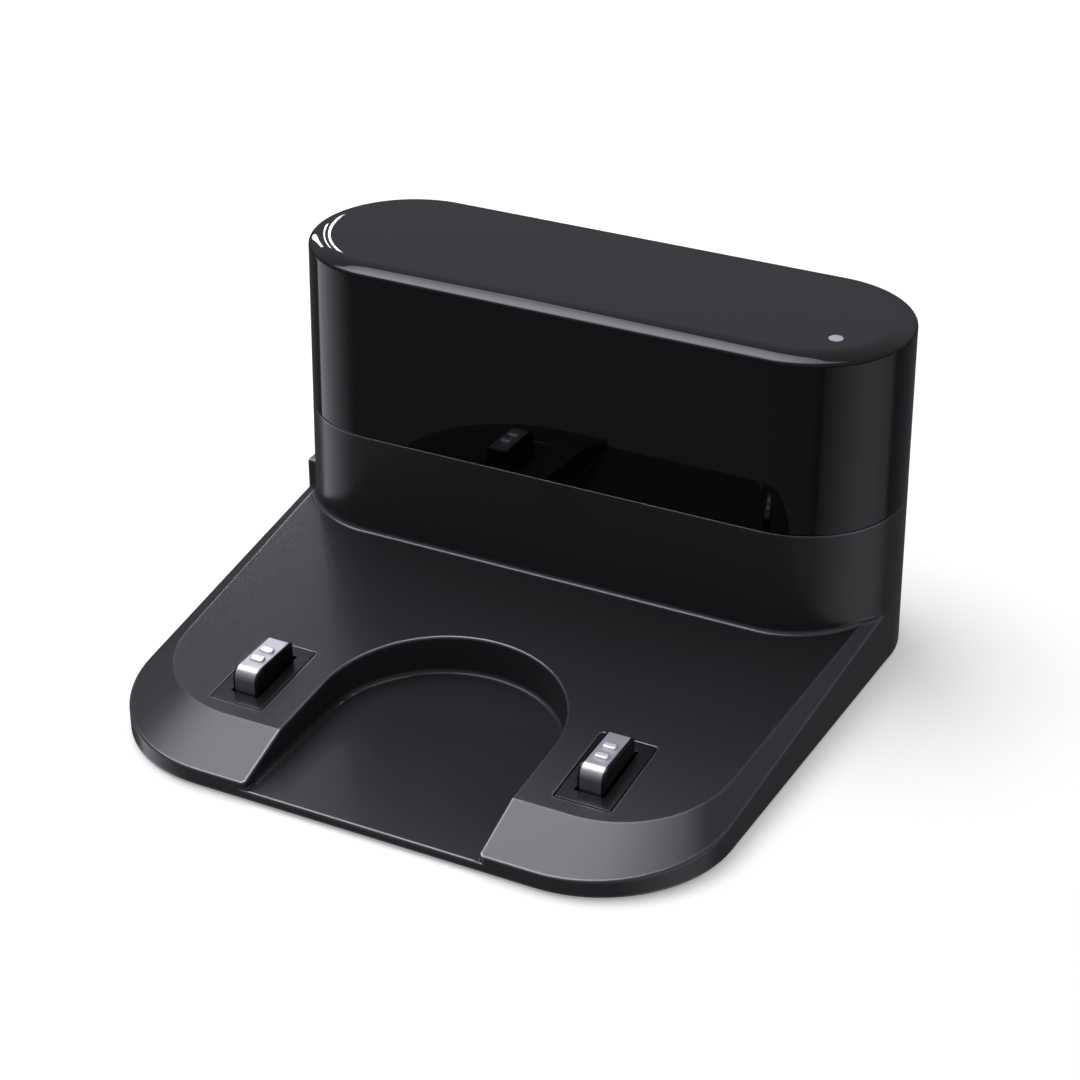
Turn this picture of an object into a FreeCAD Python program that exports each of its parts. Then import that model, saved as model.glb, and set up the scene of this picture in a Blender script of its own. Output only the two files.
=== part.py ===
"""Charging dock of a robot vacuum, in millimetres.

X runs along the tower, from left to right as seen by the robot that drives in, Y runs
back, Z runs up. The origin is the middle of the floor area that the dock covers.
"""
import FreeCAD, Part
import math
import os

import Sketcher
from FreeCAD import Placement, Rotation, Vector

SIZES = {
    # Tower: a drafted stadium, its lower band moulded with the base
    "tower_spread": 50.17,
    "tower_y": 45.7,
    "tower_radius": 25.45,
    "tower_draft": 0.89,
    "tower_height": 82.2,
    "seam_height": 39.4,
    "crown_run": 3.06,
    "crown_drop": 1.24,
    "crown_radius": 12.0,
    "crown_edge_radius": 1.0,
    "cover_wall": 2.0,
    "lap_height": 3.0,
    "lap_split": 1.0,
    "lap_gap": 0.1,
    "seam_chamfer": 0.3,
    "snap_x": 30.0,
    "snap_length": 14.0,
    "snap_height": 1.5,
    "snap_rise": 0.35,
    "snap_half_root": 0.6,
    "snap_half_tip": 0.25,
    "snap_gap": 0.1,
    # Base: walls, ramps and sloping platform
    "skirt_height": 0.6,
    "front_reach": 71.15,
    "base_tuck": 0.05,
    "base_front_half": 70.45,
    "base_corner": 31.0,
    "edge_front_height": 4.3,
    "edge_rear_height": 14.6,
    "ramp_front_run": 15.3,
    "ramp_side_front": 5.98,
    "ramp_side_rear": 2.53,
    "platform_corner": 25.3,
    "platform_front_height": 8.1,
    "platform_rear_height": 15.7,
    "wall": 2.3,
    "roof": 2.2,
    "junction_radius": 1.0,
    "edge_radius": 0.5,
    # Round bay for the robot's front caster
    "bay_radius": 27.9,
    "bay_y": -35.98,
    "bay_floor_height": 2.6,
    "bay_wall": 2.2,
    "bay_mouth_radius": 1.8,
    "bay_floor_radius": 1.2,
    # Raised nib where the left flank meets the tower
    "nib_front_y": 34.65,
    "nib_sink": 3.0,
    "nib_height": 21.1,
    "nib_radius": 0.8,
    # Rear recess for the mains plug
    "recess_left": -40.0,
    "recess_right": 28.0,
    "recess_low": 6.0,
    "recess_high": 32.0,
    "recess_depth": 15.0,
    "recess_wall": 2.0,
    "recess_corner": 1.5,
    # Bottom cover, feet and screws
    "cover_thickness": 1.8,
    "cover_gap": 0.2,
    "cover_side_inset": 2.2,
    "cover_front_inset": 5.0,
    "cover_corner": 26.0,
    "cover_ledge": 1.4,
    "foot_radius": 6.0,
    "foot_thickness": 1.4,
    "foot_gap": 0.2,
    "foot_front_side_inset": 20.45,
    "foot_front_inset": 15.15,
    "foot_rear_out": 6.83,
    "foot_rear_back": 4.3,
    "screw_radius": 1.45,
    "screw_gap": 0.05,
    "screw_head_radius": 2.8,
    "screw_head_height": 1.0,
    "screw_length": 7.6,
    "boss_radius": 3.5,
    "boss_flank_x": 61.0,
    "boss_flank_y": -18.0,
    "boss_rear_x": 59.5,
    "boss_rear_y": 61.0,
    "boss_height": 16.0,
    "boss_rib_reach": 9.5,
    "boss_rib_width": 1.6,
    "boss_middle_y": -2.2,
    "screw_head_recess": 1.1,
    "screw_clearance": 0.2,
    "screw_end_gap": 0.6,
    "screw_drive_radius": 1.2,
    "foot_edge_radius": 0.4,
    "rib_foot": 12.0,
    # Sprung charging contacts
    "contact_x": 42.1,
    "contact_y": -39.9,
    "contact_top": 15.2,
    "contact_travel": 3.0,
    "bezel_width": 12.9,
    "bezel_length": 23.4,
    "bezel_gap": 0.2,
    "bezel_corner": 0.5,
    "bezel_lug_reach": 1.0,
    "bezel_lug_length": 6.0,
    "bezel_lug_gap": 0.1,
    "rim_radius": 0.15,
    "slot_side_gap": 0.4,
    "slot_front_gap": 0.5,
    "slot_rear_gap": 1.2,
    "carrier_width": 6.2,
    "carrier_length": 15.4,
    "carrier_radius": 2.6,
    "carrier_rear_radius": 0.8,
    "carrier_edge_radius": 0.3,
    "flange_width": 8.2,
    "flange_length": 18.4,
    "flange_thickness": 1.4,
    "travel_gap": 0.3,
    "chamber_gap": 0.2,
    "stop_gap": 0.05,
    "strip_width": 5.0,
    "strip_thickness": 0.4,
    "strip_foot_height": 8.2,
    "strip_rear_inset": 0.85,
    "strip_gap": 0.05,
    "bump_length": 3.3,
    "bump_width": 2.0,
    "bump_height": 0.5,
    "bump_corner": 0.7,
    "bump_edge_radius": 0.25,
    "bump_front_y": -41.9,
    "bump_rear_y": -37.95,
    "terminal_thickness": 0.5,
    "terminal_tab_width": 3.0,
    "terminal_tab_length": 5.0,
    "spring_radius": 1.6,
    "spring_wire": 0.45,
    "spring_bore_gap": 0.3,
    "spring_turns": 5,
    "spring_gap": 0.02,
    # Steel ballast
    "ballast_length": 104.0,
    "ballast_width": 14.0,
    "ballast_thickness": 3.0,
    "ballast_y": 10.5,
    "ballast_peg_x": 38.0,
    "ballast_peg_radius": 2.0,
    "ballast_peg_gap": 0.15,
    # Mains supply
    "board_thickness": 1.6,
    "board_length": 104.0,
    "board_width": 27.0,
    "board_y": 38.0,
    "standoff_height": 3.0,
    "standoff_radius": 3.0,
    "standoff_inset_x": 4.0,
    "standoff_inset_y": 4.0,
    "board_screw_radius": 1.2,
    "board_screw_length": 3.4,
    "board_screw_head_radius": 2.2,
    "board_screw_head_height": 1.2,
    "board_screw_drive_radius": 0.9,
    "board_hole_gap": 0.15,
    "header_x": -40.0,
    "header_y": 30.0,
    "header_length": 9.0,
    "header_width": 6.0,
    "header_height": 6.0,
    "output_capacitor_x": -24.0,
    "output_capacitor_y": 31.0,
    "output_capacitor_radius": 4.0,
    "output_capacitor_height": 14.0,
    "core_x": -8.0,
    "core_length": 20.0,
    "core_width": 10.0,
    "core_height": 18.0,
    "core_leg": 6.0,
    "core_window": 4.5,
    "core_window_height": 12.0,
    "winding_gap": 0.2,
    "winding_corner": 2.0,
    "mains_capacitor_x": 14.0,
    "mains_capacitor_y": 33.0,
    "mains_capacitor_radius": 6.3,
    "mains_capacitor_height": 20.0,
    "heat_sink_x": 15.0,
    "heat_sink_y": 47.5,
    "heat_sink_length": 22.0,
    "heat_sink_thickness": 2.0,
    "heat_sink_height": 21.0,
    "transistor_width": 10.0,
    "transistor_thickness": 4.5,
    "transistor_height": 15.0,
    "transistor_leg": 0.8,
    "transistor_leg_length": 2.5,
    "transistor_leg_pitch": 2.5,
    "filter_x": 31.5,
    "filter_y": 32.0,
    "filter_ring_radius": 4.5,
    "filter_ring_thickness": 4.4,
    "touch_gap": 0.02,
    "fuse_x": 33.5,
    "fuse_y": 44.5,
    "fuse_radius": 4.2,
    "fuse_height": 7.5,
    "inlet_width": 20.5,
    "inlet_height": 11.0,
    "inlet_depth": 14.0,
    "inlet_flange": 1.5,
    "inlet_rim": 1.0,
    "inlet_rim_corner": 2.0,
    "inlet_gap": 0.15,
    "socket_radius": 4.1,
    "socket_half_spread": 4.3,
    "socket_depth": 11.0,
    "pin_radius": 1.2,
    "pin_length": 9.5,
    "pin_tail": 2.5,
    # Beacon
    "shelf_height": 34.0,
    "shelf_thickness": 2.0,
    "shelf_gap": 0.3,
    "rib_width": 3.0,
    "rib_depth": 3.0,
    "rib_x": 34.0,
    "beacon_left": -30.0,
    "beacon_right": 66.0,
    "beacon_front_y": 37.2,
    "beacon_top": 69.2,
    "beacon_thickness": 1.6,
    "rail_gap": 0.1,
    "rail_width": 1.2,
    "rail_height": 3.0,
    "cable_hole_x": -40.5,
    "cable_hole_y": 30.0,
    "cable_hole_radius": 2.4,
    "socket_inset": 1.0,
    "socket_length": 5.0,
    "socket_width": 3.5,
    "socket_height": 4.0,
    "socket_low": 44.0,
    "emitter_radius": 2.5,
    "emitter_height": 60.0,
    "emitter_spacing": 16.0,
    "emitter_length": 8.6,
    "shroud_gap": 0.3,
    "shroud_front_y": 23.6,
    "shroud_half_length": 24.0,
    "shroud_half_height": 7.0,
    "light_x": 60.28,
    "light_y": 35.94,
    "light_radius": 1.8,
    "light_gap": 0.05,
    "light_flange_radius": 3.0,
    "light_flange": 1.2,
    "light_foot": 69.5,
    "led_size": 2.4,
    # Leads: how far they run and where they bend
    "contact_lead_radius": 0.8,
    "contact_lead_start": 0.65,
    "lead_lift_y": -16.0,
    "lead_high_y": -4.0,
    "lead_high": 7.4,
    "lead_beside_y": 12.0,
    "lead_beside_height": 8.5,
    "lead_sway": 1.5,
    "lead_wander": 0.8,
    "lead_row_gap": 6.6,
    "lead_row_right_x": 27.0,
    "lead_row_middle_x": 7.0,
    "lead_row_left_x": -14.0,
    "lead_row_end_x": -31.0,
    "header_pitch": 3.6,
    "header_entry": 2.0,
    "inlet_lead_radius": 0.9,
    "inlet_lead_out": 7.0,
    "inlet_lead_side": 10.5,
    "inlet_lead_forward": 11.0,
    "inlet_lead_inner": 1.5,
    "inlet_lead_upper_height": 20.0,
    "inlet_lead_lower_height": 13.6,
    "board_pad_inset": 8.0,
    "board_pad_rear": 5.0,
    "board_pad_front": -1.0,
    "board_pad_upper_rise": 9.0,
    "board_pad_lower_rise": 5.5,
    "beacon_cable_radius": 1.1,
    "cable_rise": 11.0,
    "cable_above_shelf": 1.0,
    "cable_turn_height": 8.0,
    "cable_lean": 2.0,
    "cable_end_run": 7.0,
}

document = FreeCAD.newDocument("charging_dock")
sheet = document.addObject("Spreadsheet::Sheet", "dock")
for row, (alias, size) in enumerate(SIZES.items(), 1):
    sheet.set(f"A{row}", alias)
    sheet.set(f"B{row}", str(size))
    sheet.setAlias(f"B{row}", alias)
document.recompute()

X_AXIS, Y_AXIS, Z_AXIS = Vector(1, 0, 0), Vector(0, 1, 0), Vector(0, 0, 1)
SIDES = {"left": -1, "right": 1}
sub_parts = []


def value(expression):
    """What an expression on the sheet comes to, as a plain number."""
    return float(sheet.evalExpression(expression))


def new_body(label):
    body = document.addObject("PartDesign::Body", label)
    body.Label = label
    return body


def keep(thing):
    """Marks a finished sub-part for export."""
    thing.Label = thing.Name
    sub_parts.append(thing)
    return thing


def place(thing, x="0", y="0", z="0"):
    for axis, expression in (("x", x), ("y", y), ("z", z)):
        thing.setExpression(f"Placement.Base.{axis}", f"1 mm * ({expression})")


def sketch_on(body, name, plane, x="0", y="0", z="0", about=Z_AXIS, angle="0"):
    """An empty sketch on a base plane of its own body, shifted and turned in that plane's frame."""
    sketch = body.newObject("Sketcher::SketchObject", name)
    base = [feature for feature in body.Origin.OriginFeatures if feature.Role == plane][0]
    sketch.AttachmentSupport = [(base, "")]
    sketch.MapMode = "FlatFace"
    sketch.AttachmentOffset = Placement(Vector(), Rotation(about, 1))
    sketch.setExpression("AttachmentOffset.Rotation.Angle", angle)
    for axis, expression in (("x", x), ("y", y), ("z", z)):
        sketch.setExpression(f"AttachmentOffset.Base.{axis}", f"1 mm * ({expression})")
    return sketch


def constrain(sketch, expression, kind, *where):
    """A measured constraint whose size is an expression on the sheet."""
    index = sketch.addConstraint(Sketcher.Constraint(kind, *where, value(expression)))
    sketch.setExpression(f"Constraints[{index}]", expression)


def draw_outline(sketch, *corners):
    """A closed outline of straight sides. A corner is (x, y), or (x, y, radius) to round it."""
    spots = [Vector(value(corner[0]), value(corner[1]), 0) for corner in corners]
    radii = [value(corner[2]) if len(corner) == 3 else 0 for corner in corners]
    count = len(corners)
    arrive, leave, halves = [], [], []
    for i, spot in enumerate(spots):
        back = (spots[i - 1] - spot).normalize()
        ahead = (spots[(i + 1) % count] - spot).normalize()
        half = back.getAngle(ahead) / 2
        cut = radii[i] / math.tan(half)
        arrive.append(spot + back * cut)
        leave.append(spot + ahead * cut)
        halves.append((back, ahead, half))
    sides = [
        sketch.addGeometry(Part.LineSegment(leave[i], arrive[(i + 1) % count])) for i in range(count)
    ]
    for i, corner in enumerate(corners):
        before = sides[i - 1]
        after = sides[i]
        if radii[i]:
            back, ahead, half = halves[i]
            turns_left = back.cross(ahead).z < 0
            centre = spots[i] + (back + ahead).normalize() * (radii[i] / math.sin(half))
            first, last = (arrive[i], leave[i]) if turns_left else (leave[i], arrive[i])
            start = math.atan2(first.y - centre.y, first.x - centre.x)
            end = math.atan2(last.y - centre.y, last.x - centre.x)
            if end < start:
                end += 2 * math.pi
            circle = Part.Circle(centre, Z_AXIS, radii[i])
            arc = sketch.addGeometry(Part.ArcOfCircle(circle, start, end))
            mark = sketch.addGeometry(Part.Point(spots[i]), True)
            near, far = (1, 2) if turns_left else (2, 1)
            sketch.addConstraint(Sketcher.Constraint("Tangent", before, 2, arc, near))
            sketch.addConstraint(Sketcher.Constraint("Tangent", arc, far, after, 1))
            sketch.addConstraint(Sketcher.Constraint("PointOnObject", mark, 1, before))
            sketch.addConstraint(Sketcher.Constraint("PointOnObject", mark, 1, after))
            constrain(sketch, corner[2], "Radius", arc)
        else:
            mark = after
            sketch.addConstraint(Sketcher.Constraint("Coincident", before, 2, after, 1))
        constrain(sketch, corner[0], "DistanceX", -1, 1, mark, 1)
        constrain(sketch, corner[1], "DistanceY", -1, 1, mark, 1)


def draw_rectangle(sketch, width, height, corner=None):
    """A rectangle about the sketch's origin."""
    rounding = (corner,) if corner else ()
    draw_outline(
        sketch,
        (f"-({width}) / 2", f"-({height}) / 2", *rounding),
        (f"({width}) / 2", f"-({height}) / 2", *rounding),
        (f"({width}) / 2", f"({height}) / 2", *rounding),
        (f"-({width}) / 2", f"({height}) / 2", *rounding),
    )


def draw_circle(sketch, radius, x="0", y="0"):
    circle = sketch.addGeometry(Part.Circle(Vector(value(x), value(y), 0), Z_AXIS, value(radius)))
    constrain(sketch, radius, "Radius", circle)
    constrain(sketch, x, "DistanceX", -1, 1, circle, 3)
    constrain(sketch, y, "DistanceY", -1, 1, circle, 3)


def draw_stadium(sketch, spread, radius):
    """A slot shape along the sketch's X axis; its end centres lie a spread from the origin."""
    reach, size = value(spread), value(radius)
    top = Part.LineSegment(Vector(reach, size, 0), Vector(-reach, size, 0))
    low = Part.LineSegment(Vector(-reach, -size, 0), Vector(reach, -size, 0))
    left_circle = Part.Circle(Vector(-reach, 0, 0), Z_AXIS, size)
    right_circle = Part.Circle(Vector(reach, 0, 0), Z_AXIS, size)
    quarter = math.pi / 2
    top = sketch.addGeometry(top)
    left = sketch.addGeometry(Part.ArcOfCircle(left_circle, quarter, 3 * quarter))
    low = sketch.addGeometry(low)
    right = sketch.addGeometry(Part.ArcOfCircle(right_circle, -quarter, quarter))
    for first, second in ((top, left), (left, low), (low, right), (right, top)):
        sketch.addConstraint(Sketcher.Constraint("Tangent", first, 2, second, 1))
    sketch.addConstraint(Sketcher.Constraint("Equal", left, right))
    sketch.addConstraint(Sketcher.Constraint("Symmetric", left, 3, right, 3, -1, 1))
    sketch.addConstraint(Sketcher.Constraint("PointOnObject", right, 3, -1))
    constrain(sketch, spread, "DistanceX", -1, 1, right, 3)
    constrain(sketch, radius, "Radius", right)


def box(name, length, width, height, x, y, z):
    block = document.addObject("Part::Box", name)
    block.setExpression("Length", length)
    block.setExpression("Width", width)
    block.setExpression("Height", height)
    place(block, x, y, z)
    return block


def cylinder(name, radius, height, x, y, z, along="z"):
    rod = document.addObject("Part::Cylinder", name)
    turns = {"x": Rotation(Y_AXIS, 90), "y": Rotation(X_AXIS, -90), "z": Rotation()}
    rod.Placement = Placement(Vector(), turns[along])
    rod.setExpression("Radius", radius)
    rod.setExpression("Height", height)
    place(rod, x, y, z)
    return rod


def join(name, *pieces):
    fuse = document.addObject("Part::MultiFuse", name)
    fuse.Shapes = list(pieces)
    return fuse


def subtract(name, base, tool):
    difference = document.addObject("Part::Cut", name)
    difference.Base = base
    difference.Tool = tool
    return difference


def group(name, pieces):
    """Several like pieces in one node, each a solid of its own."""
    bundle = document.addObject("Part::Compound", name)
    bundle.Links = pieces
    return bundle


def add_feature(body, kind, name, sketch):
    feature = body.newObject(f"PartDesign::{kind}", name)
    feature.Profile = sketch
    sketch.Visibility = False
    return feature


def pad(body, name, sketch, length, draft=None, both_ways=False):
    feature = add_feature(body, "Pad", name, sketch)
    feature.setExpression("Length", length)
    if draft:
        feature.setExpression("TaperAngle", draft)
    feature.Midplane = both_ways
    return feature


def pocket(body, name, sketch, depth=None, along_normal=True, both_ways=False):
    """Cuts by a depth, or through everything, on the side that the sketch's normal points to."""
    feature = add_feature(body, "Pocket", name, sketch)
    feature.Reversed = along_normal
    feature.Midplane = both_ways
    if depth:
        feature.setExpression("Length", depth)
    else:
        feature.Type = 1
    return feature


def loft(body, name, sketches):
    feature = body.newObject("PartDesign::AdditiveLoft", name)
    feature.Profile = sketches[0]
    feature.Sections = sketches[1:]
    feature.Ruled = True
    return feature


SHORTEST_EDGE = 0.001


def round_edges(body, name, radius, *surfaces):
    """Rounds the edges of the body so far that lie on all the surfaces given, each a test of a point."""
    document.recompute()
    base = body.Tip
    names = [
        f"Edge{number}"
        for number, edge in enumerate(base.Shape.Edges, 1)
        if edge.Length > SHORTEST_EDGE
        and all(surface(point) for point in edge.discretize(7) for surface in surfaces)
    ]
    feature = body.newObject("PartDesign::Fillet", name)
    feature.Base = (base, names)
    feature.setExpression("Radius", radius)
    body.Tip = feature
    return feature


# Formulas that more than one sub-part uses

BASE_DEPTH = "(dock.tower_y + dock.front_reach)"
EDGE_TILT = f"atan((dock.edge_rear_height - dock.edge_front_height) / {BASE_DEPTH})"
PLATFORM_TILT = f"atan((dock.platform_rear_height - dock.platform_front_height) / {BASE_DEPTH})"
COVER_TOP = "(dock.skirt_height + dock.cover_thickness)"
HEAD_SEAT = "(dock.skirt_height + dock.screw_head_recess)"
RECESS_FRONT = "(dock.tower_y + dock.tower_radius - dock.recess_depth)"
INLET_Y = f"({RECESS_FRONT} + dock.inlet_gap + dock.inlet_rim + dock.inlet_height / 2)"
INLET_Z = "((dock.recess_low + dock.recess_high) / 2)"
FLANGE_FOOT = f"({COVER_TOP} + dock.terminal_thickness + dock.travel_gap + dock.contact_travel)"
FLANGE_TOP = f"({FLANGE_FOOT} + dock.flange_thickness)"
BOARD_TOP = f"({COVER_TOP} + dock.standoff_height + dock.board_thickness)"
BOSSES = {
    "left_flank": ("-dock.boss_flank_x", "dock.boss_flank_y"),
    "right_flank": ("dock.boss_flank_x", "dock.boss_flank_y"),
    "middle": ("0", "dock.boss_middle_y"),
    "left_rear": ("-dock.boss_rear_x", "dock.boss_rear_y"),
    "right_rear": ("dock.boss_rear_x", "dock.boss_rear_y"),
}


def tower_radius_at(height):
    """Half the tower's depth at a height, after its draft."""
    return f"(dock.tower_radius - tan(dock.tower_draft * 1 deg) * ({height} - dock.skirt_height))"


def platform_height_at(y):
    """Height of the platform's plane at a place along Y."""
    slope = f"(dock.platform_rear_height - dock.platform_front_height) / {BASE_DEPTH}"
    return f"(dock.platform_rear_height + ({y} - dock.tower_y) * {slope})"


def draw_base_outline(sketch, rear_half, front_half, front_inset, tilt, corner):
    """The base seen from above, as far back as the tower's centre line, where y is zero."""
    reach = f"-({BASE_DEPTH} - ({front_inset})) / cos({tilt})"
    draw_outline(
        sketch,
        (f"-({front_half})", reach, corner),
        (front_half, reach, corner),
        (rear_half, "0"),
        (f"-({rear_half})", "0"),
    )


# Outside of the base housing

outside = new_body("housing_outside")
outline_low = sketch_on(outside, "outline_low", "XY_Plane", y="dock.tower_y", z="dock.skirt_height")
rear_half_low = "dock.tower_spread + dock.tower_radius - dock.base_tuck"
draw_base_outline(outline_low, rear_half_low, "dock.base_front_half", "0", "0 deg", "dock.base_corner")

outline_edge = sketch_on(
    outside, "outline_edge", "XY_Plane", y="dock.tower_y", z="dock.edge_rear_height",
    about=X_AXIS, angle=EDGE_TILT,
)
rear_half_edge = f"dock.tower_spread + {tower_radius_at('dock.edge_rear_height')} - dock.base_tuck"
draw_base_outline(
    outline_edge, rear_half_edge, "dock.base_front_half", "0", EDGE_TILT, "dock.base_corner"
)

outline_platform = sketch_on(
    outside, "outline_platform", "XY_Plane", y="dock.tower_y", z="dock.platform_rear_height",
    about=X_AXIS, angle=PLATFORM_TILT,
)
rear_half_platform = f"{rear_half_edge} - dock.ramp_side_rear"
side_narrowing = f"({rear_half_platform} - dock.base_front_half + dock.ramp_side_front)"
front_half_platform = (
    f"dock.base_front_half - dock.ramp_side_front"
    f" + {side_narrowing} * dock.ramp_front_run / {BASE_DEPTH}"
)
draw_base_outline(
    outline_platform, rear_half_platform, front_half_platform, "dock.ramp_front_run",
    PLATFORM_TILT, "dock.platform_corner",
)
loft(outside, "ramps", [outline_platform, outline_edge, outline_low])


def close(first, second, tolerance=0.02):
    return abs(first - second) < tolerance


def at(axis, expression):
    """A test for points on a plane across an axis."""
    return lambda point: close(getattr(point, axis), value(expression))


def rising_plane(front_height, rear_height):
    """A test for points on a plane that rises from the front edge to the tower's centre line."""
    def test(point):
        share = (point.y + value("dock.front_reach")) / value(BASE_DEPTH)
        rise = value(f"{rear_height} - {front_height}")
        return close(point.z, value(front_height) + share * rise)
    return test


on_platform = rising_plane("dock.platform_front_height", "dock.platform_rear_height")
on_ramp_foot = rising_plane("dock.edge_front_height", "dock.edge_rear_height")


def on_tower(point):
    beyond = max(abs(point.x) - value("dock.tower_spread"), 0)
    across = math.hypot(beyond, point.y - value("dock.tower_y"))
    return close(across, value(tower_radius_at(str(point.z))))


def on_bay_wall(point):
    behind = max(point.y - value("dock.bay_y"), 0)
    return close(math.hypot(point.x, behind), value("dock.bay_radius"))


def above_ramp_foot(point):
    return point.z > value("dock.edge_front_height + dock.edge_radius")


def clear_of_rear_face(point):
    """Leaves out the edges that the tower will cover."""
    return point.y < value("dock.tower_y - dock.base_tuck") or abs(point.x) > value("dock.tower_spread")


round_edges(outside, "ramp_foot", "dock.edge_radius", on_ramp_foot, clear_of_rear_face)
round_edges(outside, "ramp_top", "dock.edge_radius", on_platform, clear_of_rear_face)

band = sketch_on(outside, "band_outline", "XY_Plane", y="dock.tower_y", z="dock.skirt_height")
draw_stadium(band, "dock.tower_spread", "dock.tower_radius")
pad(outside, "band", band, "dock.seam_height - dock.skirt_height", draft="-dock.tower_draft")

nib = sketch_on(
    outside, "nib_outline", "XY_Plane", y="dock.tower_y", z="dock.edge_rear_height - dock.nib_sink"
)
nib_front = "(dock.nib_front_y - dock.tower_y)"
nib_outer = f"-({rear_half_edge} + {nib_front} * ({rear_half_edge} - dock.base_front_half) / {BASE_DEPTH})"
draw_outline(
    nib,
    (nib_outer, nib_front),
    ("-dock.tower_spread", nib_front),
    ("-dock.tower_spread", "0"),
    (f"-({rear_half_edge})", "0"),
)
pad(outside, "nib", nib, "dock.nib_height - dock.edge_rear_height + dock.nib_sink")
round_edges(outside, "nib_top", "dock.nib_radius", at("z", "dock.nib_height"), at("y", "dock.nib_front_y"))
round_edges(outside, "junction", "dock.junction_radius", on_platform, on_tower)

bay_reach = "(dock.front_reach + dock.bay_y)"
bay = sketch_on(
    outside, "bay_outline", "XY_Plane", y=f"dock.bay_y - {bay_reach}", z="dock.bay_floor_height",
    angle="90 deg",
)
draw_stadium(bay, bay_reach, "dock.bay_radius")
pocket(outside, "bay", bay)
round_edges(outside, "bay_floor", "dock.bay_floor_radius", on_bay_wall, at("z", "dock.bay_floor_height"))
round_edges(outside, "bay_rim", "dock.edge_radius", on_bay_wall, above_ramp_foot)
for side, sign in SIDES.items():
    mouth = sketch_on(
        outside, f"bay_mouth_{side}_outline", "XY_Plane", x=f"{sign} * dock.bay_radius",
        y="-dock.front_reach", z="dock.bay_floor_height",
    )
    reach = "2 * dock.bay_mouth_radius"
    corners = [
        ("-dock.bay_mouth_radius", "-dock.bay_mouth_radius"), (reach, "-dock.bay_mouth_radius"),
        (reach, "0"), ("0", "0", "dock.bay_mouth_radius"), ("0", reach), ("-dock.bay_mouth_radius", reach),
    ]
    if sign < 0:
        corners = [(f"-({across})", *rest) for across, *rest in reversed(corners)]
    draw_outline(mouth, *corners)
    pocket(outside, f"bay_mouth_{side}", mouth)

lip = sketch_on(outside, "lip_outline", "XY_Plane", y="dock.tower_y", z="dock.seam_height")
lip_radius = f"{tower_radius_at('dock.seam_height')} - dock.lap_split - dock.lap_gap"
draw_stadium(lip, "dock.tower_spread", lip_radius)
pad(outside, "lip", lip, "dock.lap_height", draft="-dock.tower_draft")

# Beads on the lip, that the tower cover snaps over. A place is its side of the tower and its end
SNAPS = {
    f"{face}_{side}": (outward, f"{sign} * dock.snap_x")
    for side, sign in SIDES.items()
    for face, outward in (("front", -1), ("rear", 1))
}
SNAP_HEIGHT = "(dock.seam_height + dock.snap_height)"
BEAD_FACE = f"({tower_radius_at('dock.seam_height')} - dock.lap_split - dock.lap_gap)"


def draw_bead(sketch, outward, gap):
    """Section of a bead in the tower's cross-section, or of the groove for it, wider by a gap."""
    root, tip = f"({BEAD_FACE} - dock.lap_gap)", f"({BEAD_FACE} + dock.snap_rise + {gap})"
    half_root, half_tip = f"(dock.snap_half_root + {gap})", f"(dock.snap_half_tip + {gap})"
    corners = [
        (root, f"{SNAP_HEIGHT} - {half_root}"), (tip, f"{SNAP_HEIGHT} - {half_tip}"),
        (tip, f"{SNAP_HEIGHT} + {half_tip}"), (root, f"{SNAP_HEIGHT} + {half_root}"),
    ]
    if outward < 0:
        corners = [(f"-({across})", height) for across, height in reversed(corners)]
    draw_outline(sketch, *corners)


for where, (outward, x) in SNAPS.items():
    bead = sketch_on(outside, f"bead_{where}_outline", "YZ_Plane", x="dock.tower_y", z=x)
    draw_bead(bead, outward, "0")
    pad(outside, f"bead_{where}", bead, "dock.snap_length", both_ways=True)

for side, sign in SIDES.items():
    window = sketch_on(
        outside, f"contact_window_{side}_outline", "XY_Plane", x=f"{sign} * dock.contact_x",
        y="dock.contact_y", z=COVER_TOP,
    )
    draw_rectangle(
        window, "dock.bezel_width + 2 * dock.bezel_gap", "dock.bezel_length + 2 * dock.bezel_gap",
        "dock.bezel_corner + dock.bezel_gap",
    )
    pocket(outside, f"contact_window_{side}", window)


def around_a_contact(point):
    across = abs(abs(point.x) - value("dock.contact_x"))
    return across < value("dock.bezel_width") and point.y < value("dock.contact_y + dock.bezel_length")


round_edges(outside, "window_rims", "dock.rim_radius", on_platform, around_a_contact)

recess = sketch_on(
    outside, "recess_outline", "XZ_Plane", x="(dock.recess_left + dock.recess_right) / 2",
    y="(dock.recess_low + dock.recess_high) / 2", z=f"-{RECESS_FRONT}",
)
draw_rectangle(
    recess, "dock.recess_right - dock.recess_left", "dock.recess_high - dock.recess_low",
    "dock.recess_corner",
)
pocket(outside, "recess", recess, along_normal=False)
inlet_hole = sketch_on(
    outside, "inlet_hole_outline", "YZ_Plane", x=INLET_Y, y=INLET_Z,
    z="dock.recess_right - dock.recess_wall",
)
draw_rectangle(
    inlet_hole, "dock.inlet_height + 2 * dock.inlet_gap", "dock.inlet_width + 2 * dock.inlet_gap"
)
pocket(outside, "inlet_hole", inlet_hole, depth="3 * dock.recess_wall")

for where, (x, y) in BOSSES.items():
    pilot = sketch_on(outside, f"pilot_{where}_outline", "XY_Plane", x=x, y=y, z=HEAD_SEAT)
    draw_circle(pilot, "dock.screw_radius + dock.screw_gap")
    pocket(outside, f"pilot_{where}", pilot, depth="dock.screw_length")


# Inside of the base housing: the space that is hollow, with its ribs and bosses left out

hollow = new_body("housing_hollow")
seat_inset = "dock.cover_side_inset"


def draw_cover_outline(sketch, gap):
    inset = f"{seat_inset} + {gap}"
    draw_base_outline(
        sketch, f"{rear_half_low} - ({inset})", f"dock.base_front_half - ({inset})",
        f"dock.cover_front_inset + {gap}", "0 deg", "dock.cover_corner",
    )


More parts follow.
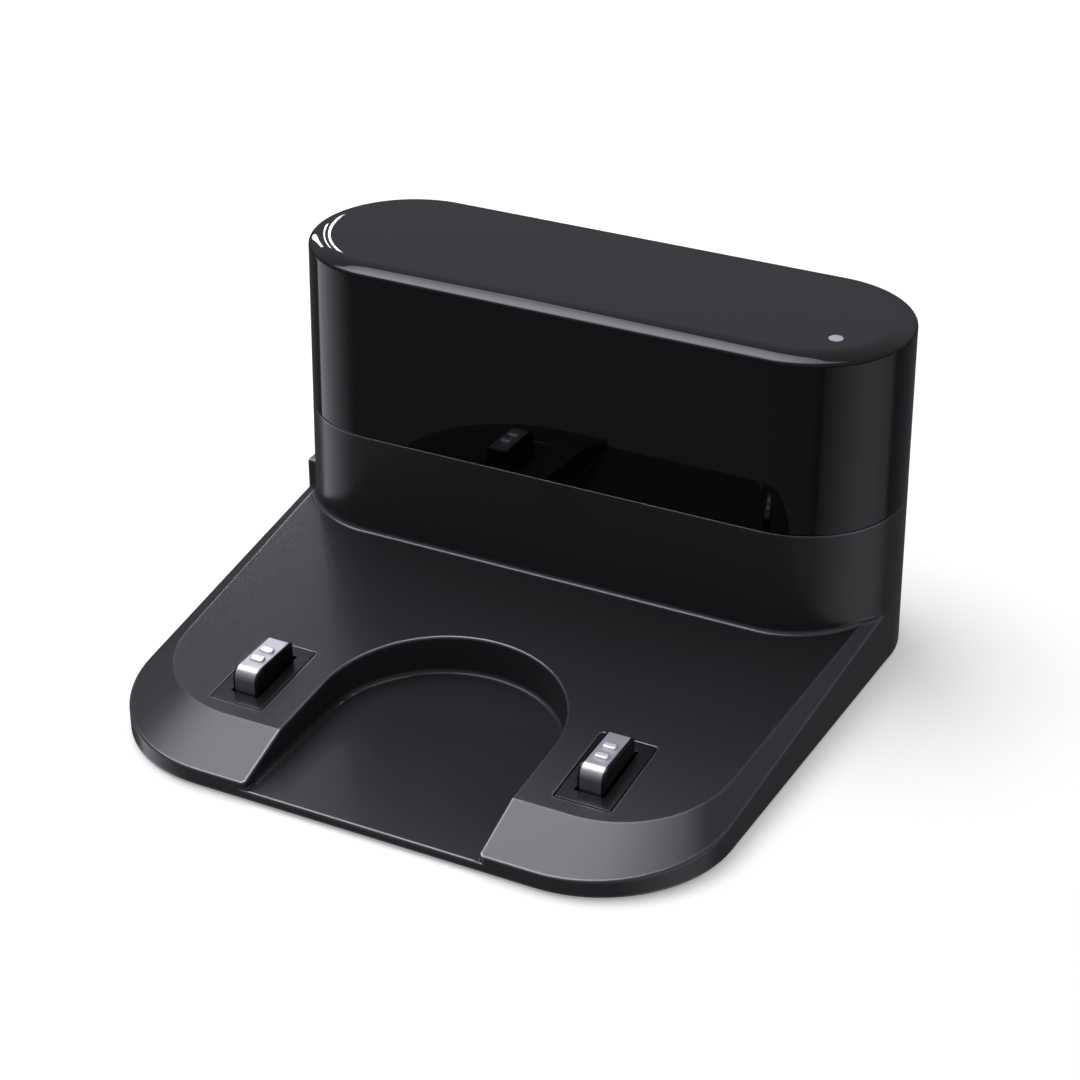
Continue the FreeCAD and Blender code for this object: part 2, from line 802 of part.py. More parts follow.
seat = sketch_on(hollow, "seat_outline", "XY_Plane", y="dock.tower_y", z="dock.skirt_height")
draw_cover_outline(seat, "0")
pad(hollow, "seat", seat, "dock.cover_thickness")

space_low = sketch_on(hollow, "space_low", "XY_Plane", y="dock.tower_y", z=COVER_TOP)
ledge_inset = f"({seat_inset} + dock.cover_ledge)"
draw_base_outline(
    space_low, f"{rear_half_low} - {ledge_inset}", f"dock.base_front_half - {ledge_inset}",
    "dock.cover_front_inset + dock.cover_ledge", "0 deg", "dock.cover_corner - dock.cover_ledge",
)
space_high = sketch_on(
    hollow, "space_high", "XY_Plane", y="dock.tower_y", z="dock.platform_rear_height - dock.roof",
    about=X_AXIS, angle=PLATFORM_TILT,
)
draw_base_outline(
    space_high, f"{rear_half_platform} - dock.wall", f"{front_half_platform} - dock.wall",
    "dock.ramp_front_run + dock.wall", PLATFORM_TILT, "dock.platform_corner - dock.wall",
)
loft(hollow, "space", [space_high, space_low])

seat_end = sketch_on(hollow, "seat_end_outline", "XY_Plane", y="dock.tower_y", z="dock.skirt_height")
draw_stadium(seat_end, "dock.tower_spread", f"dock.tower_radius - {seat_inset}")
pad(hollow, "seat_end", seat_end, "dock.cover_thickness")

tower_space = sketch_on(hollow, "tower_space_outline", "XY_Plane", y="dock.tower_y", z=COVER_TOP)
draw_stadium(tower_space, "dock.tower_spread", f"{tower_radius_at(COVER_TOP)} - dock.wall")
pad(
    hollow, "tower_space", tower_space, f"dock.seam_height + dock.lap_height - {COVER_TOP}",
    draft="-dock.tower_draft",
)

bay_skin = sketch_on(
    hollow, "bay_skin_outline", "XY_Plane", y=f"dock.bay_y - {bay_reach}", z="0", angle="90 deg"
)
draw_stadium(bay_skin, bay_reach, "dock.bay_radius + dock.bay_wall")
pocket(hollow, "bay_skin", bay_skin)

for where, (x, y) in BOSSES.items():
    boss = sketch_on(hollow, f"boss_{where}_outline", "XY_Plane", x=x, y=y, z=COVER_TOP)
    draw_circle(boss, "dock.boss_radius")
    pocket(hollow, f"boss_{where}", boss, depth=f"dock.boss_height - {COVER_TOP}")

for side, sign in SIDES.items():
    brace = sketch_on(
        hollow, f"boss_rib_{side}_outline", "XY_Plane",
        x=f"{sign} * (dock.boss_rear_x + dock.boss_rib_reach / 2)", y="dock.boss_rear_y", z=COVER_TOP,
    )
    draw_rectangle(brace, "dock.boss_rib_reach", "dock.boss_rib_width")
    pocket(hollow, f"boss_rib_{side}", brace, depth=f"dock.boss_height - {COVER_TOP}")
    rib = sketch_on(
        hollow, f"rib_{side}_outline", "XY_Plane", x=f"{sign} * dock.rib_x",
        y="dock.tower_y - dock.tower_radius + dock.wall + dock.rib_depth / 2", z="dock.rib_foot",
    )
    draw_rectangle(rib, "dock.rib_width", "dock.rib_depth * 2")
    pocket(hollow, f"rib_{side}", rib, depth="dock.shelf_height - dock.rib_foot")

recess_walls = sketch_on(
    hollow, "recess_walls_outline", "XY_Plane", x="(dock.recess_left + dock.recess_right) / 2",
    y=f"{RECESS_FRONT} - dock.recess_wall + dock.recess_depth", z="dock.recess_low - dock.recess_wall",
)
draw_rectangle(
    recess_walls, "dock.recess_right - dock.recess_left + 2 * dock.recess_wall", "2 * dock.recess_depth"
)
pocket(hollow, "recess_walls", recess_walls, depth="dock.shelf_height - dock.recess_low + dock.recess_wall")


keep(subtract("base_housing", outside, hollow))


# Bottom cover with feet, standoffs and screws

bottom = new_body("bottom_cover")
plate = sketch_on(bottom, "plate_outline", "XY_Plane", y="dock.tower_y", z="dock.skirt_height")
draw_cover_outline(plate, "dock.cover_gap")
pad(bottom, "plate", plate, "dock.cover_thickness")
plate_end = sketch_on(bottom, "plate_end_outline", "XY_Plane", y="dock.tower_y", z="dock.skirt_height")
draw_stadium(plate_end, "dock.tower_spread", f"dock.tower_radius - {seat_inset} - dock.cover_gap")
pad(bottom, "plate_end", plate_end, "dock.cover_thickness")
bay_cutout = sketch_on(
    bottom, "bay_cutout_outline", "XY_Plane", y=f"dock.bay_y - {bay_reach}", angle="90 deg"
)
draw_stadium(bay_cutout, bay_reach, "dock.bay_radius + dock.bay_wall + dock.cover_gap")
pocket(bottom, "bay_cutout", bay_cutout)

STANDOFFS = {
    f"{end}_{side}": (
        f"{sign} * (dock.board_length / 2 - dock.standoff_inset_x)",
        f"dock.board_y + {back} * (dock.board_width / 2 - dock.standoff_inset_y)",
    )
    for side, sign in SIDES.items()
    for end, back in (("front", -1), ("rear", 1))
}
for where, (x, y) in STANDOFFS.items():
    post = sketch_on(bottom, f"standoff_{where}_outline", "XY_Plane", x=x, y=y, z="dock.skirt_height")
    draw_circle(post, "dock.standoff_radius")
    pad(bottom, f"standoff_{where}", post, "dock.cover_thickness + dock.standoff_height")
for where, (x, y) in STANDOFFS.items():
    pilot = sketch_on(
        bottom, f"standoff_hole_{where}_outline", "XY_Plane", x=x, y=y,
        z=f"{COVER_TOP} + dock.standoff_height - dock.board_screw_length",
    )
    draw_circle(pilot, "dock.board_screw_radius + dock.screw_gap")
    pocket(bottom, f"standoff_hole_{where}", pilot)

for side, sign in SIDES.items():
    peg = sketch_on(
        bottom, f"peg_{side}_outline", "XY_Plane", x=f"{sign} * dock.ballast_peg_x", y="dock.ballast_y",
        z="dock.skirt_height",
    )
    draw_circle(peg, "dock.ballast_peg_radius")
    pad(bottom, f"peg_{side}", peg, "dock.cover_thickness + dock.ballast_thickness")

FEET = {
    f"{end}_{side}": (f"{sign} * {across}", along)
    for side, sign in SIDES.items()
    for end, across, along in (
        (
            "front", "(dock.base_front_half - dock.foot_front_side_inset)",
            "dock.foot_front_inset - dock.front_reach",
        ),
        ("rear", "(dock.tower_spread + dock.foot_rear_out)", "dock.tower_y + dock.foot_rear_back"),
    )
}
for where, (x, y) in FEET.items():
    seat = sketch_on(bottom, f"foot_seat_{where}_outline", "XY_Plane", x=x, y=y, z="dock.foot_thickness")
    draw_circle(seat, "dock.foot_radius + dock.foot_gap")
    pocket(bottom, f"foot_seat_{where}", seat, depth="dock.foot_thickness", along_normal=False)
    foot = new_body(f"foot_{where}")
    round_pad = sketch_on(foot, f"foot_{where}_outline", "XY_Plane")
    draw_circle(round_pad, "dock.foot_radius")
    pad(foot, f"foot_{where}_pad", round_pad, "dock.foot_thickness")
    round_edges(foot, f"foot_{where}_edge", "dock.foot_edge_radius", at("z", "0"))
    place(foot, x, y)
    keep(foot)

for where, (x, y) in BOSSES.items():
    shank_hole = sketch_on(bottom, f"screw_hole_{where}_outline", "XY_Plane", x=x, y=y)
    draw_circle(shank_hole, "dock.screw_radius + dock.screw_clearance")
    pocket(bottom, f"screw_hole_{where}", shank_hole)
    head_seat = sketch_on(bottom, f"head_seat_{where}_outline", "XY_Plane", x=x, y=y, z=HEAD_SEAT)
    draw_circle(head_seat, "dock.screw_head_radius + dock.screw_clearance")
    pocket(bottom, f"head_seat_{where}", head_seat, depth="dock.screw_head_recess", along_normal=False)
keep(bottom)


def screw(name, shank_radius, shank_length, head_radius, head_height, drive_radius, upwards):
    """A pan-head screw along Z with a hexagon drive; its head seat lies at its origin."""
    body = new_body(name)
    shank = sketch_on(body, f"{name}_shank_outline", "XY_Plane")
    draw_circle(shank, shank_radius)
    shank_pad = pad(body, f"{name}_shank", shank, shank_length)
    shank_pad.Reversed = not upwards
    head = sketch_on(body, f"{name}_head_outline", "XY_Plane")
    draw_circle(head, head_radius)
    head_pad = pad(body, f"{name}_head", head, head_height)
    head_pad.Reversed = upwards
    face = f"-({head_height})" if upwards else head_height
    drive = sketch_on(body, f"{name}_drive_outline", "XY_Plane", z=face)
    turns = [f"{60 * corner} deg" for corner in range(6)]
    corners = [(f"{drive_radius} * cos({turn})", f"{drive_radius} * sin({turn})") for turn in turns]
    draw_outline(drive, *corners)
    pocket(body, f"{name}_drive", drive, depth=f"({head_height}) / 2", along_normal=upwards)
    return body


bottom_screws = []
for where, (x, y) in BOSSES.items():
    piece = screw(
        f"screw_{where}", "dock.screw_radius", "dock.screw_length - dock.screw_end_gap",
        "dock.screw_head_radius", "dock.screw_head_height", "dock.screw_drive_radius", True,
    )
    place(piece, x, y, HEAD_SEAT)
    bottom_screws.append(piece)
keep(group("bottom_screws", bottom_screws))


# Tower cover: the upper half of the tower

def cover_section(side):
    """Half the cover's section, from the seam up to the top and back down inside."""
    top = "dock.tower_height"
    bend = "dock.tower_height - dock.crown_drop"
    rebate = "dock.seam_height + dock.lap_height + dock.lap_gap"
    outer = [
        (f"{tower_radius_at('dock.seam_height')} - dock.lap_split", "dock.seam_height"),
        (f"{tower_radius_at('dock.seam_height')} - dock.seam_chamfer", "dock.seam_height"),
        (tower_radius_at("dock.seam_height + dock.seam_chamfer"), "dock.seam_height + dock.seam_chamfer"),
        (tower_radius_at(bend), bend, "dock.crown_edge_radius"),
        (f"{tower_radius_at(bend)} - dock.crown_run", top, "dock.crown_radius"),
    ]
    inner = [
        (f"{tower_radius_at(bend)} - dock.crown_run", f"{top} - dock.cover_wall"),
        (f"{tower_radius_at(bend)} - dock.cover_wall", f"{bend} - dock.cover_wall"),
        (f"{tower_radius_at(rebate)} - dock.cover_wall", rebate),
        (f"{tower_radius_at(rebate)} - dock.lap_split", rebate),
    ]
    return [
        [(f"{side} * ({across})", *rest) for across, *rest in line] for line in (outer, inner)
    ]


tower_cover = new_body("tower_cover")
middle = sketch_on(tower_cover, "cover_middle_outline", "YZ_Plane", x="dock.tower_y")
outer, inner = cover_section(1)
far_outer, far_inner = cover_section(-1)
draw_outline(middle, *outer, *reversed(far_outer), *reversed(far_inner), *inner)
pad(tower_cover, "cover_middle", middle, "2 * dock.tower_spread", both_ways=True)
for side, sign in SIDES.items():
    end = sketch_on(
        tower_cover, f"cover_end_{side}_outline", "XZ_Plane", x=f"{sign} * dock.tower_spread",
        z="-dock.tower_y",
    )
    outer, inner = cover_section(sign)
    on_axis = [("0", "dock.tower_height"), ("0", "dock.tower_height - dock.cover_wall")]
    draw_outline(end, *outer, *on_axis, *inner)
    turned = add_feature(tower_cover, "Revolution", f"cover_end_{side}", end)
    turned.ReferenceAxis = (end, ["V_Axis"])
    turned.Angle = 180
    turned.Midplane = True
light_hole = sketch_on(
    tower_cover, "light_hole_outline", "XY_Plane", x="dock.light_x", y="dock.light_y", z="dock.seam_height"
)
draw_circle(light_hole, "dock.light_radius + dock.light_gap")
pocket(tower_cover, "light_hole", light_hole)
for where, (outward, x) in SNAPS.items():
    groove = sketch_on(tower_cover, f"groove_{where}_outline", "YZ_Plane", x="dock.tower_y", z=x)
    draw_bead(groove, outward, "dock.snap_gap")
    pocket(
        tower_cover, f"groove_{where}", groove, depth="dock.snap_length + 2 * dock.snap_gap", both_ways=True
    )
keep(tower_cover)

pipe = new_body("status_light_pipe")
rod = sketch_on(pipe, "pipe_rod_outline", "XY_Plane", z="dock.light_foot")
draw_circle(rod, "dock.light_radius")
pad(pipe, "pipe_rod", rod, "dock.tower_height - dock.light_foot")
collar = sketch_on(
    pipe, "pipe_collar_outline", "XY_Plane",
    z="dock.tower_height - dock.cover_wall - dock.light_gap - dock.light_flange",
)
draw_circle(collar, "dock.light_flange_radius")
pad(pipe, "pipe_collar", collar, "dock.light_flange")
place(pipe, "dock.light_x", "dock.light_y")
keep(pipe)


# Charging contacts. Each piece is drawn about the contact's own centre line

def contact_bezel(name):
    """The guide module, flush with the platform, with a chamber below for the carrier's flange.

    A lug on each side, under the housing's roof, keeps it down.
    """
    body = new_body(name)
    front, rear = "-dock.bezel_length / 2", "dock.bezel_length / 2"
    side_view = sketch_on(body, f"{name}_side_view", "YZ_Plane")
    draw_outline(
        side_view, (front, COVER_TOP), (rear, COVER_TOP),
        (rear, platform_height_at(f"(dock.contact_y + {rear})")),
        (front, platform_height_at(f"(dock.contact_y + {front})")),
    )
    pad(body, f"{name}_block", side_view, "dock.bezel_width", both_ways=True)

    def upright_corner(point):
        on_side = close(abs(point.x), value("dock.bezel_width / 2"))
        return on_side and close(abs(point.y), value("dock.bezel_length / 2"))

    def on_top(point):
        return close(point.z, value(platform_height_at(f"(dock.contact_y + {point.y})")))

    round_edges(body, f"{name}_corners", "dock.bezel_corner", upright_corner)
    round_edges(body, f"{name}_rim", "dock.rim_radius", on_top)
    lugs = sketch_on(body, f"{name}_lugs_outline", "YZ_Plane")
    front, rear = "-dock.bezel_lug_length / 2", "dock.bezel_lug_length / 2"
    under_roof = "(dock.roof + dock.bezel_lug_gap)"
    draw_outline(
        lugs, (front, COVER_TOP), (rear, COVER_TOP),
        (rear, f"{platform_height_at(f'(dock.contact_y + {rear})')} - {under_roof}"),
        (front, f"{platform_height_at(f'(dock.contact_y + {front})')} - {under_roof}"),
    )
    pad(body, f"{name}_lugs", lugs, "dock.bezel_width + 2 * dock.bezel_lug_reach", both_ways=True)
    slot = sketch_on(
        body, f"{name}_slot_outline", "XY_Plane", y="(dock.slot_rear_gap - dock.slot_front_gap) / 2",
        z=COVER_TOP,
    )
    draw_rectangle(
        slot, "dock.carrier_width + 2 * dock.slot_side_gap",
        "dock.carrier_length + dock.slot_front_gap + dock.slot_rear_gap",
    )
    pocket(body, f"{name}_slot", slot)
    chamber = sketch_on(body, f"{name}_chamber_outline", "XY_Plane", z=COVER_TOP)
    draw_rectangle(
        chamber, "dock.flange_width + 2 * dock.chamber_gap", "dock.flange_length + 2 * dock.chamber_gap"
    )
    pocket(body, f"{name}_chamber", chamber, depth=f"{FLANGE_TOP} + dock.stop_gap - {COVER_TOP}")
    tab_slot = sketch_on(
        body, f"{name}_tab_slot_outline", "XZ_Plane", y=f"{COVER_TOP} + dock.terminal_thickness / 2"
    )
    draw_rectangle(
        tab_slot, "dock.terminal_tab_width + 2 * dock.chamber_gap",
        "dock.terminal_thickness + 2 * dock.chamber_gap",
    )
    pocket(body, f"{name}_tab_slot", tab_slot, along_normal=False)
    return body


def contact_carrier(name):
    """The sliding block, with a groove for the strip, a flange that stops it and a spring bore."""
    body = new_body(name)
    front, rear, top = "-dock.carrier_length / 2", "dock.carrier_length / 2", "dock.contact_top"
    side_view = sketch_on(body, f"{name}_side_view", "YZ_Plane")
    draw_outline(
        side_view, (front, FLANGE_TOP), (rear, FLANGE_TOP), (rear, top, "dock.carrier_rear_radius"),
        (front, top, "dock.carrier_radius"),
    )
    pad(body, f"{name}_block", side_view, "dock.carrier_width", both_ways=True)

    def on_side(point):
        return close(abs(point.x), value("dock.carrier_width / 2"))

    def above_flange(point):
        return point.z > value(FLANGE_TOP) - 0.01

    def not_the_foot(point):
        return not close(point.z, value(FLANGE_TOP)) or close(abs(point.y), value(rear))

    round_edges(body, f"{name}_edges", "dock.carrier_edge_radius", on_side, above_flange, not_the_foot)
    groove = sketch_on(body, f"{name}_groove_outline", "YZ_Plane")
    deep = "dock.strip_thickness"
    groove_rear = f"({rear} - dock.strip_rear_inset + dock.strip_gap)"
    groove_foot = "dock.strip_foot_height - dock.strip_gap"
    draw_outline(
        groove, (groove_rear, f"{top} - {deep}"), (groove_rear, f"{top} + {deep}"),
        (f"{front} - {deep}", f"{top} + {deep}"), (f"{front} - {deep}", groove_foot),
        (f"{front} + {deep}", groove_foot),
        (f"{front} + {deep}", f"{top} - {deep}", f"dock.carrier_radius - {deep}"),
    )
    pocket(
        body, f"{name}_groove", groove, depth="dock.strip_width + 2 * dock.strip_gap", both_ways=True
    )
    flange = sketch_on(body, f"{name}_flange_outline", "XY_Plane", z=FLANGE_FOOT)
    draw_rectangle(flange, "dock.flange_width", "dock.flange_length")
    pad(body, f"{name}_flange", flange, "dock.flange_thickness")
    bore = sketch_on(body, f"{name}_bore_outline", "XY_Plane")
    draw_circle(bore, "dock.spring_radius + dock.spring_wire / 2 + dock.spring_bore_gap")
    pocket(body, f"{name}_bore", bore)
    return body


def contact_strip(name):
    """The metal strip, bent over the front of the carrier, with two bumps pressed in its top."""
    body = new_body(name)
    front, rear = "-dock.carrier_length / 2", "dock.carrier_length / 2 - dock.strip_rear_inset"
    under = "dock.contact_top - dock.strip_thickness"
    side_view = sketch_on(body, f"{name}_side_view", "YZ_Plane")
    draw_outline(
        side_view, (rear, under), (rear, "dock.contact_top"),
        (front, "dock.contact_top", "dock.carrier_radius"),
        (front, "dock.strip_foot_height"), (f"{front} + dock.strip_thickness", "dock.strip_foot_height"),
        (f"{front} + dock.strip_thickness", under, "dock.carrier_radius - dock.strip_thickness"),
    )
    pad(body, f"{name}_bent", side_view, "dock.strip_width", both_ways=True)
    for where in ("front", "rear"):
        bump = sketch_on(
            body, f"{name}_bump_{where}_outline", "XY_Plane", y=f"dock.bump_{where}_y - dock.contact_y",
            z="dock.contact_top",
        )
        draw_rectangle(bump, "dock.bump_length", "dock.bump_width", "dock.bump_corner")
        pad(body, f"{name}_bump_{where}", bump, "dock.bump_height")
    round_edges(
        body, f"{name}_bump_edges", "dock.bump_edge_radius", at("z", "dock.contact_top + dock.bump_height")
    )
    return body


def contact_terminal(name):
    """The plate below the spring, with a tab that leaves the module at the back."""
    body = new_body(name)
    plate = sketch_on(body, f"{name}_outline", "XY_Plane", z=COVER_TOP)
    half, tab_half, end = "dock.flange_width / 2", "dock.terminal_tab_width / 2", "dock.flange_length / 2"
    tab_end = f"{end} + dock.terminal_tab_length"
    draw_outline(
        plate, (f"-{half}", f"-{end}"), (half, f"-{end}"), (half, end), (tab_half, end),
        (tab_half, tab_end), (f"-{tab_half}", tab_end), (f"-{tab_half}", end), (f"-{half}", end),
    )
    pad(body, f"{name}_plate", plate, "dock.terminal_thickness")
    return body


SPRING_FOOT = f"({COVER_TOP} + dock.terminal_thickness + dock.spring_gap + dock.spring_wire / 2)"
SPRING_HEAD = "(dock.contact_top - dock.strip_thickness - dock.spring_gap - dock.spring_wire / 2)"


def contact_spring(name):
    """The coil spring between the terminal and the strip."""
    coil = document.addObject("Part::Helix", f"{name}_coil")
    coil.setExpression("Radius", "dock.spring_radius")
    coil.setExpression("Height", f"{SPRING_HEAD} - {SPRING_FOOT}")
    coil.setExpression("Pitch", f"({SPRING_HEAD} - {SPRING_FOOT}) / dock.spring_turns")
    coil.SegmentLength = 1
    place(coil, z=SPRING_FOOT)
    wire = document.addObject("Part::Circle", f"{name}_wire")
    wire.setExpression("Radius", "dock.spring_wire / 2")
    wire.Placement = Placement(Vector(), Rotation(X_AXIS, 90))
    place(wire, "dock.spring_radius", z=SPRING_FOOT)
    document.recompute()
    spring = document.addObject("Part::Sweep", name)
    spring.Sections = [wire]
    spring.Spine = (coil, [f"Edge{number}" for number in range(1, len(coil.Shape.Edges) + 1)])
    spring.Solid = True
    spring.Frenet = True
    return spring


CONTACT_PIECES = {
    "bezel": contact_bezel,
    "carrier": contact_carrier,
    "strip": contact_strip,
    "terminal": contact_terminal,
    "spring": contact_spring,
}
for side, sign in SIDES.items():
    for kind, make in CONTACT_PIECES.items():
        piece = make(f"contact_{kind}_{side}")
        place(piece, f"{sign} * dock.contact_x", "dock.contact_y")
        keep(piece)


# Ballast plate on the bottom cover

ballast_blank = box(
    "ballast_blank", "dock.ballast_length", "dock.ballast_width", "dock.ballast_thickness",
    "-dock.ballast_length / 2", "dock.ballast_y - dock.ballast_width / 2", COVER_TOP,
)
peg_holes = [
    cylinder(
        f"ballast_hole_{side}", "dock.ballast_peg_radius + dock.ballast_peg_gap", "dock.ballast_thickness",
        f"{sign} * dock.ballast_peg_x", "dock.ballast_y", COVER_TOP,
    )
    for side, sign in SIDES.items()
]
keep(subtract("ballast_plate", ballast_blank, join("ballast_holes", *peg_holes)))


# Mains supply

board_blank = box(
    "board_blank", "dock.board_length", "dock.board_width", "dock.board_thickness",
    "-dock.board_length / 2", "dock.board_y - dock.board_width / 2",
    f"{BOARD_TOP} - dock.board_thickness",
)
board_holes = [
    cylinder(
        f"board_hole_{where}", "dock.board_screw_radius + dock.board_hole_gap", "dock.board_thickness",
        x, y, f"{BOARD_TOP} - dock.board_thickness",
    )
    for where, (x, y) in STANDOFFS.items()
]
keep(subtract("power_board", board_blank, join("board_holes", *board_holes)))

board_screws = []
for where, (x, y) in STANDOFFS.items():
    piece = screw(
        f"board_screw_{where}", "dock.board_screw_radius",
        "dock.board_thickness + dock.board_screw_length - dock.screw_end_gap",
        "dock.board_screw_head_radius", "dock.board_screw_head_height", "dock.board_screw_drive_radius",
        False,
    )
    place(piece, x, y, BOARD_TOP)
    board_screws.append(piece)
keep(group("board_screws", board_screws))

keep(
    box(
        "output_header", "dock.header_length", "dock.header_width", "dock.header_height",
        "dock.header_x - dock.header_length / 2", "dock.header_y - dock.header_width / 2", BOARD_TOP,
    )
)
keep(
    cylinder(
        "output_capacitor", "dock.output_capacitor_radius", "dock.output_capacitor_height",
        "dock.output_capacitor_x", "dock.output_capacitor_y", BOARD_TOP,
    )
)
keep(
    cylinder(
        "mains_capacitor", "dock.mains_capacitor_radius", "dock.mains_capacitor_height",
        "dock.mains_capacitor_x", "dock.mains_capacitor_y", BOARD_TOP,
    )
)
keep(
    cylinder(
        "board_fuse", "dock.fuse_radius", "dock.fuse_height", "dock.fuse_x", "dock.fuse_y", BOARD_TOP
    )
)

coil_ring = document.addObject("Part::Torus", "line_filter_coil")
coil_ring.setExpression("Radius1", "dock.filter_ring_radius")
coil_ring.setExpression("Radius2", "dock.filter_ring_thickness / 2")
place(
    coil_ring, "dock.filter_x", "dock.filter_y",
    f"{BOARD_TOP} + dock.filter_ring_thickness / 2 + dock.touch_gap",
)
keep(coil_ring)

core = new_body("transformer_core")
core_view = sketch_on(core, "core_outline", "XZ_Plane", y="dock.core_height / 2")
draw_rectangle(core_view, "dock.core_length", "dock.core_height")
pad(core, "core_block", core_view, "dock.core_width", both_ways=True)
for side, sign in SIDES.items():
    window = sketch_on(
        core, f"core_window_{side}_outline", "XZ_Plane",
        x=f"{sign} * (dock.core_leg + dock.core_window) / 2", y="dock.core_height / 2",
        z="-dock.core_width",
    )
    draw_rectangle(window, "dock.core_window", "dock.core_window_height")
    pocket(core, f"core_window_{side}", window)
place(core, "dock.core_x", "dock.board_y", BOARD_TOP)
keep(core)

winding = new_body("transformer_winding")
turns_view = sketch_on(
    winding, "winding_outline", "XY_Plane",
    z="(dock.core_height - dock.core_window_height) / 2 + dock.winding_gap",
)
draw_rectangle(
    turns_view, "dock.core_leg + 2 * dock.core_window - 2 * dock.winding_gap",
    "dock.core_width + 2 * dock.core_window - 2 * dock.winding_gap", "dock.winding_corner",
)
pad(winding, "winding_turns", turns_view, "dock.core_window_height - 2 * dock.winding_gap")
leg_hole = sketch_on(winding, "winding_hole_outline", "XY_Plane")
draw_rectangle(
    leg_hole, "dock.core_leg + 2 * dock.winding_gap", "dock.core_width + 2 * dock.winding_gap"
)
pocket(winding, "winding_hole", leg_hole)
place(winding, "dock.core_x", "dock.board_y", BOARD_TOP)
keep(winding)

keep(
    box(
        "heat_sink", "dock.heat_sink_length", "dock.heat_sink_thickness", "dock.heat_sink_height",
        "dock.heat_sink_x - dock.heat_sink_length / 2", "dock.heat_sink_y", BOARD_TOP,
    )
)
transistor_case = box(
    "transistor_case", "dock.transistor_width", "dock.transistor_thickness", "dock.transistor_height",
    "dock.heat_sink_x - dock.transistor_width / 2", "dock.heat_sink_y - dock.transistor_thickness",
    f"{BOARD_TOP} + dock.transistor_leg_length",
)
transistor_legs = [
    box(
        f"transistor_leg_{place_number}", "dock.transistor_leg", "dock.transistor_leg",
        "dock.transistor_leg_length",
        f"dock.heat_sink_x + {place_number} * dock.transistor_leg_pitch - dock.transistor_leg / 2",
        "dock.heat_sink_y - dock.transistor_thickness / 2", BOARD_TOP,
    )
    for place_number in (-1, 0, 1)
]
keep(join("switching_transistor", transistor_case, *transistor_legs))


# Mains inlet in the right-hand wall of the recess

inlet = new_body("mains_inlet")
case = sketch_on(inlet, "inlet_case_outline", "YZ_Plane")
draw_rectangle(case, "dock.inlet_height", "dock.inlet_width")
pad(inlet, "inlet_case", case, "dock.inlet_depth")
rim = sketch_on(inlet, "inlet_rim_outline", "YZ_Plane", z="-dock.inlet_flange")
draw_rectangle(
    rim, "dock.inlet_height + 2 * dock.inlet_rim", "dock.inlet_width + 2 * dock.inlet_rim",
    "dock.inlet_rim_corner",
)
pad(inlet, "inlet_rim", rim, "dock.inlet_flange")
socket = sketch_on(inlet, "socket_outline", "YZ_Plane", z="-dock.inlet_flange", angle="90 deg")
draw_stadium(socket, "dock.socket_half_spread", "dock.socket_radius")
pocket(inlet, "socket", socket, depth="dock.socket_depth")
PINS = {"upper": 1, "lower": -1}
for where, sign in PINS.items():
    passage = sketch_on(
        inlet, f"pin_passage_{where}_outline", "YZ_Plane", y=f"{sign} * dock.socket_half_spread"
    )
    draw_circle(passage, "dock.pin_radius + dock.touch_gap")
    pocket(inlet, f"pin_passage_{where}", passage)
place(inlet, "dock.recess_right", INLET_Y, INLET_Z)
keep(inlet)

PIN_TIP = "(dock.recess_right - dock.inlet_flange + dock.socket_depth - dock.pin_length)"
PIN_END = "(dock.recess_right + dock.inlet_depth + dock.pin_tail)"
inlet_pins = [
    cylinder(
        f"inlet_pin_{where}", "dock.pin_radius", f"{PIN_END} - {PIN_TIP}", PIN_TIP, INLET_Y,
        f"{INLET_Z} + {sign} * dock.socket_half_spread", along="x",
    )
    for where, sign in PINS.items()
]
keep(group("inlet_pins", inlet_pins))


# Beacon in the tower, behind the cover

shelf = new_body("beacon_shelf")
floor = sketch_on(shelf, "shelf_outline", "XY_Plane", y="dock.tower_y", z="dock.shelf_height")
draw_stadium(
    floor, "dock.tower_spread",
    f"{tower_radius_at('dock.shelf_height + dock.shelf_thickness')} - dock.wall - dock.shelf_gap",
)
pad(shelf, "shelf_floor", floor, "dock.shelf_thickness")
RAILS = {
    "front": "-dock.rail_gap - dock.rail_width / 2",
    "rear": "dock.beacon_thickness + dock.rail_gap + dock.rail_width / 2",
}
for where, offset in RAILS.items():
    rail = sketch_on(
        shelf, f"rail_{where}_outline", "XY_Plane", x="(dock.beacon_left + dock.beacon_right) / 2",
        y=f"dock.beacon_front_y + {offset}", z="dock.shelf_height + dock.shelf_thickness",
    )
    draw_rectangle(rail, "dock.beacon_right - dock.beacon_left", "dock.rail_width")
    pad(shelf, f"rail_{where}", rail, "dock.rail_height")
cable_hole = sketch_on(
    shelf, "cable_hole_outline", "XY_Plane", x="dock.cable_hole_x", y="dock.cable_hole_y"
)
draw_circle(cable_hole, "dock.cable_hole_radius")
pocket(shelf, "cable_hole", cable_hole)
keep(shelf)

keep(
    box(
        "beacon_board", "dock.beacon_right - dock.beacon_left", "dock.beacon_thickness",
        "dock.beacon_top - dock.shelf_height - dock.shelf_thickness", "dock.beacon_left",
        "dock.beacon_front_y", "dock.shelf_height + dock.shelf_thickness",
    )
)

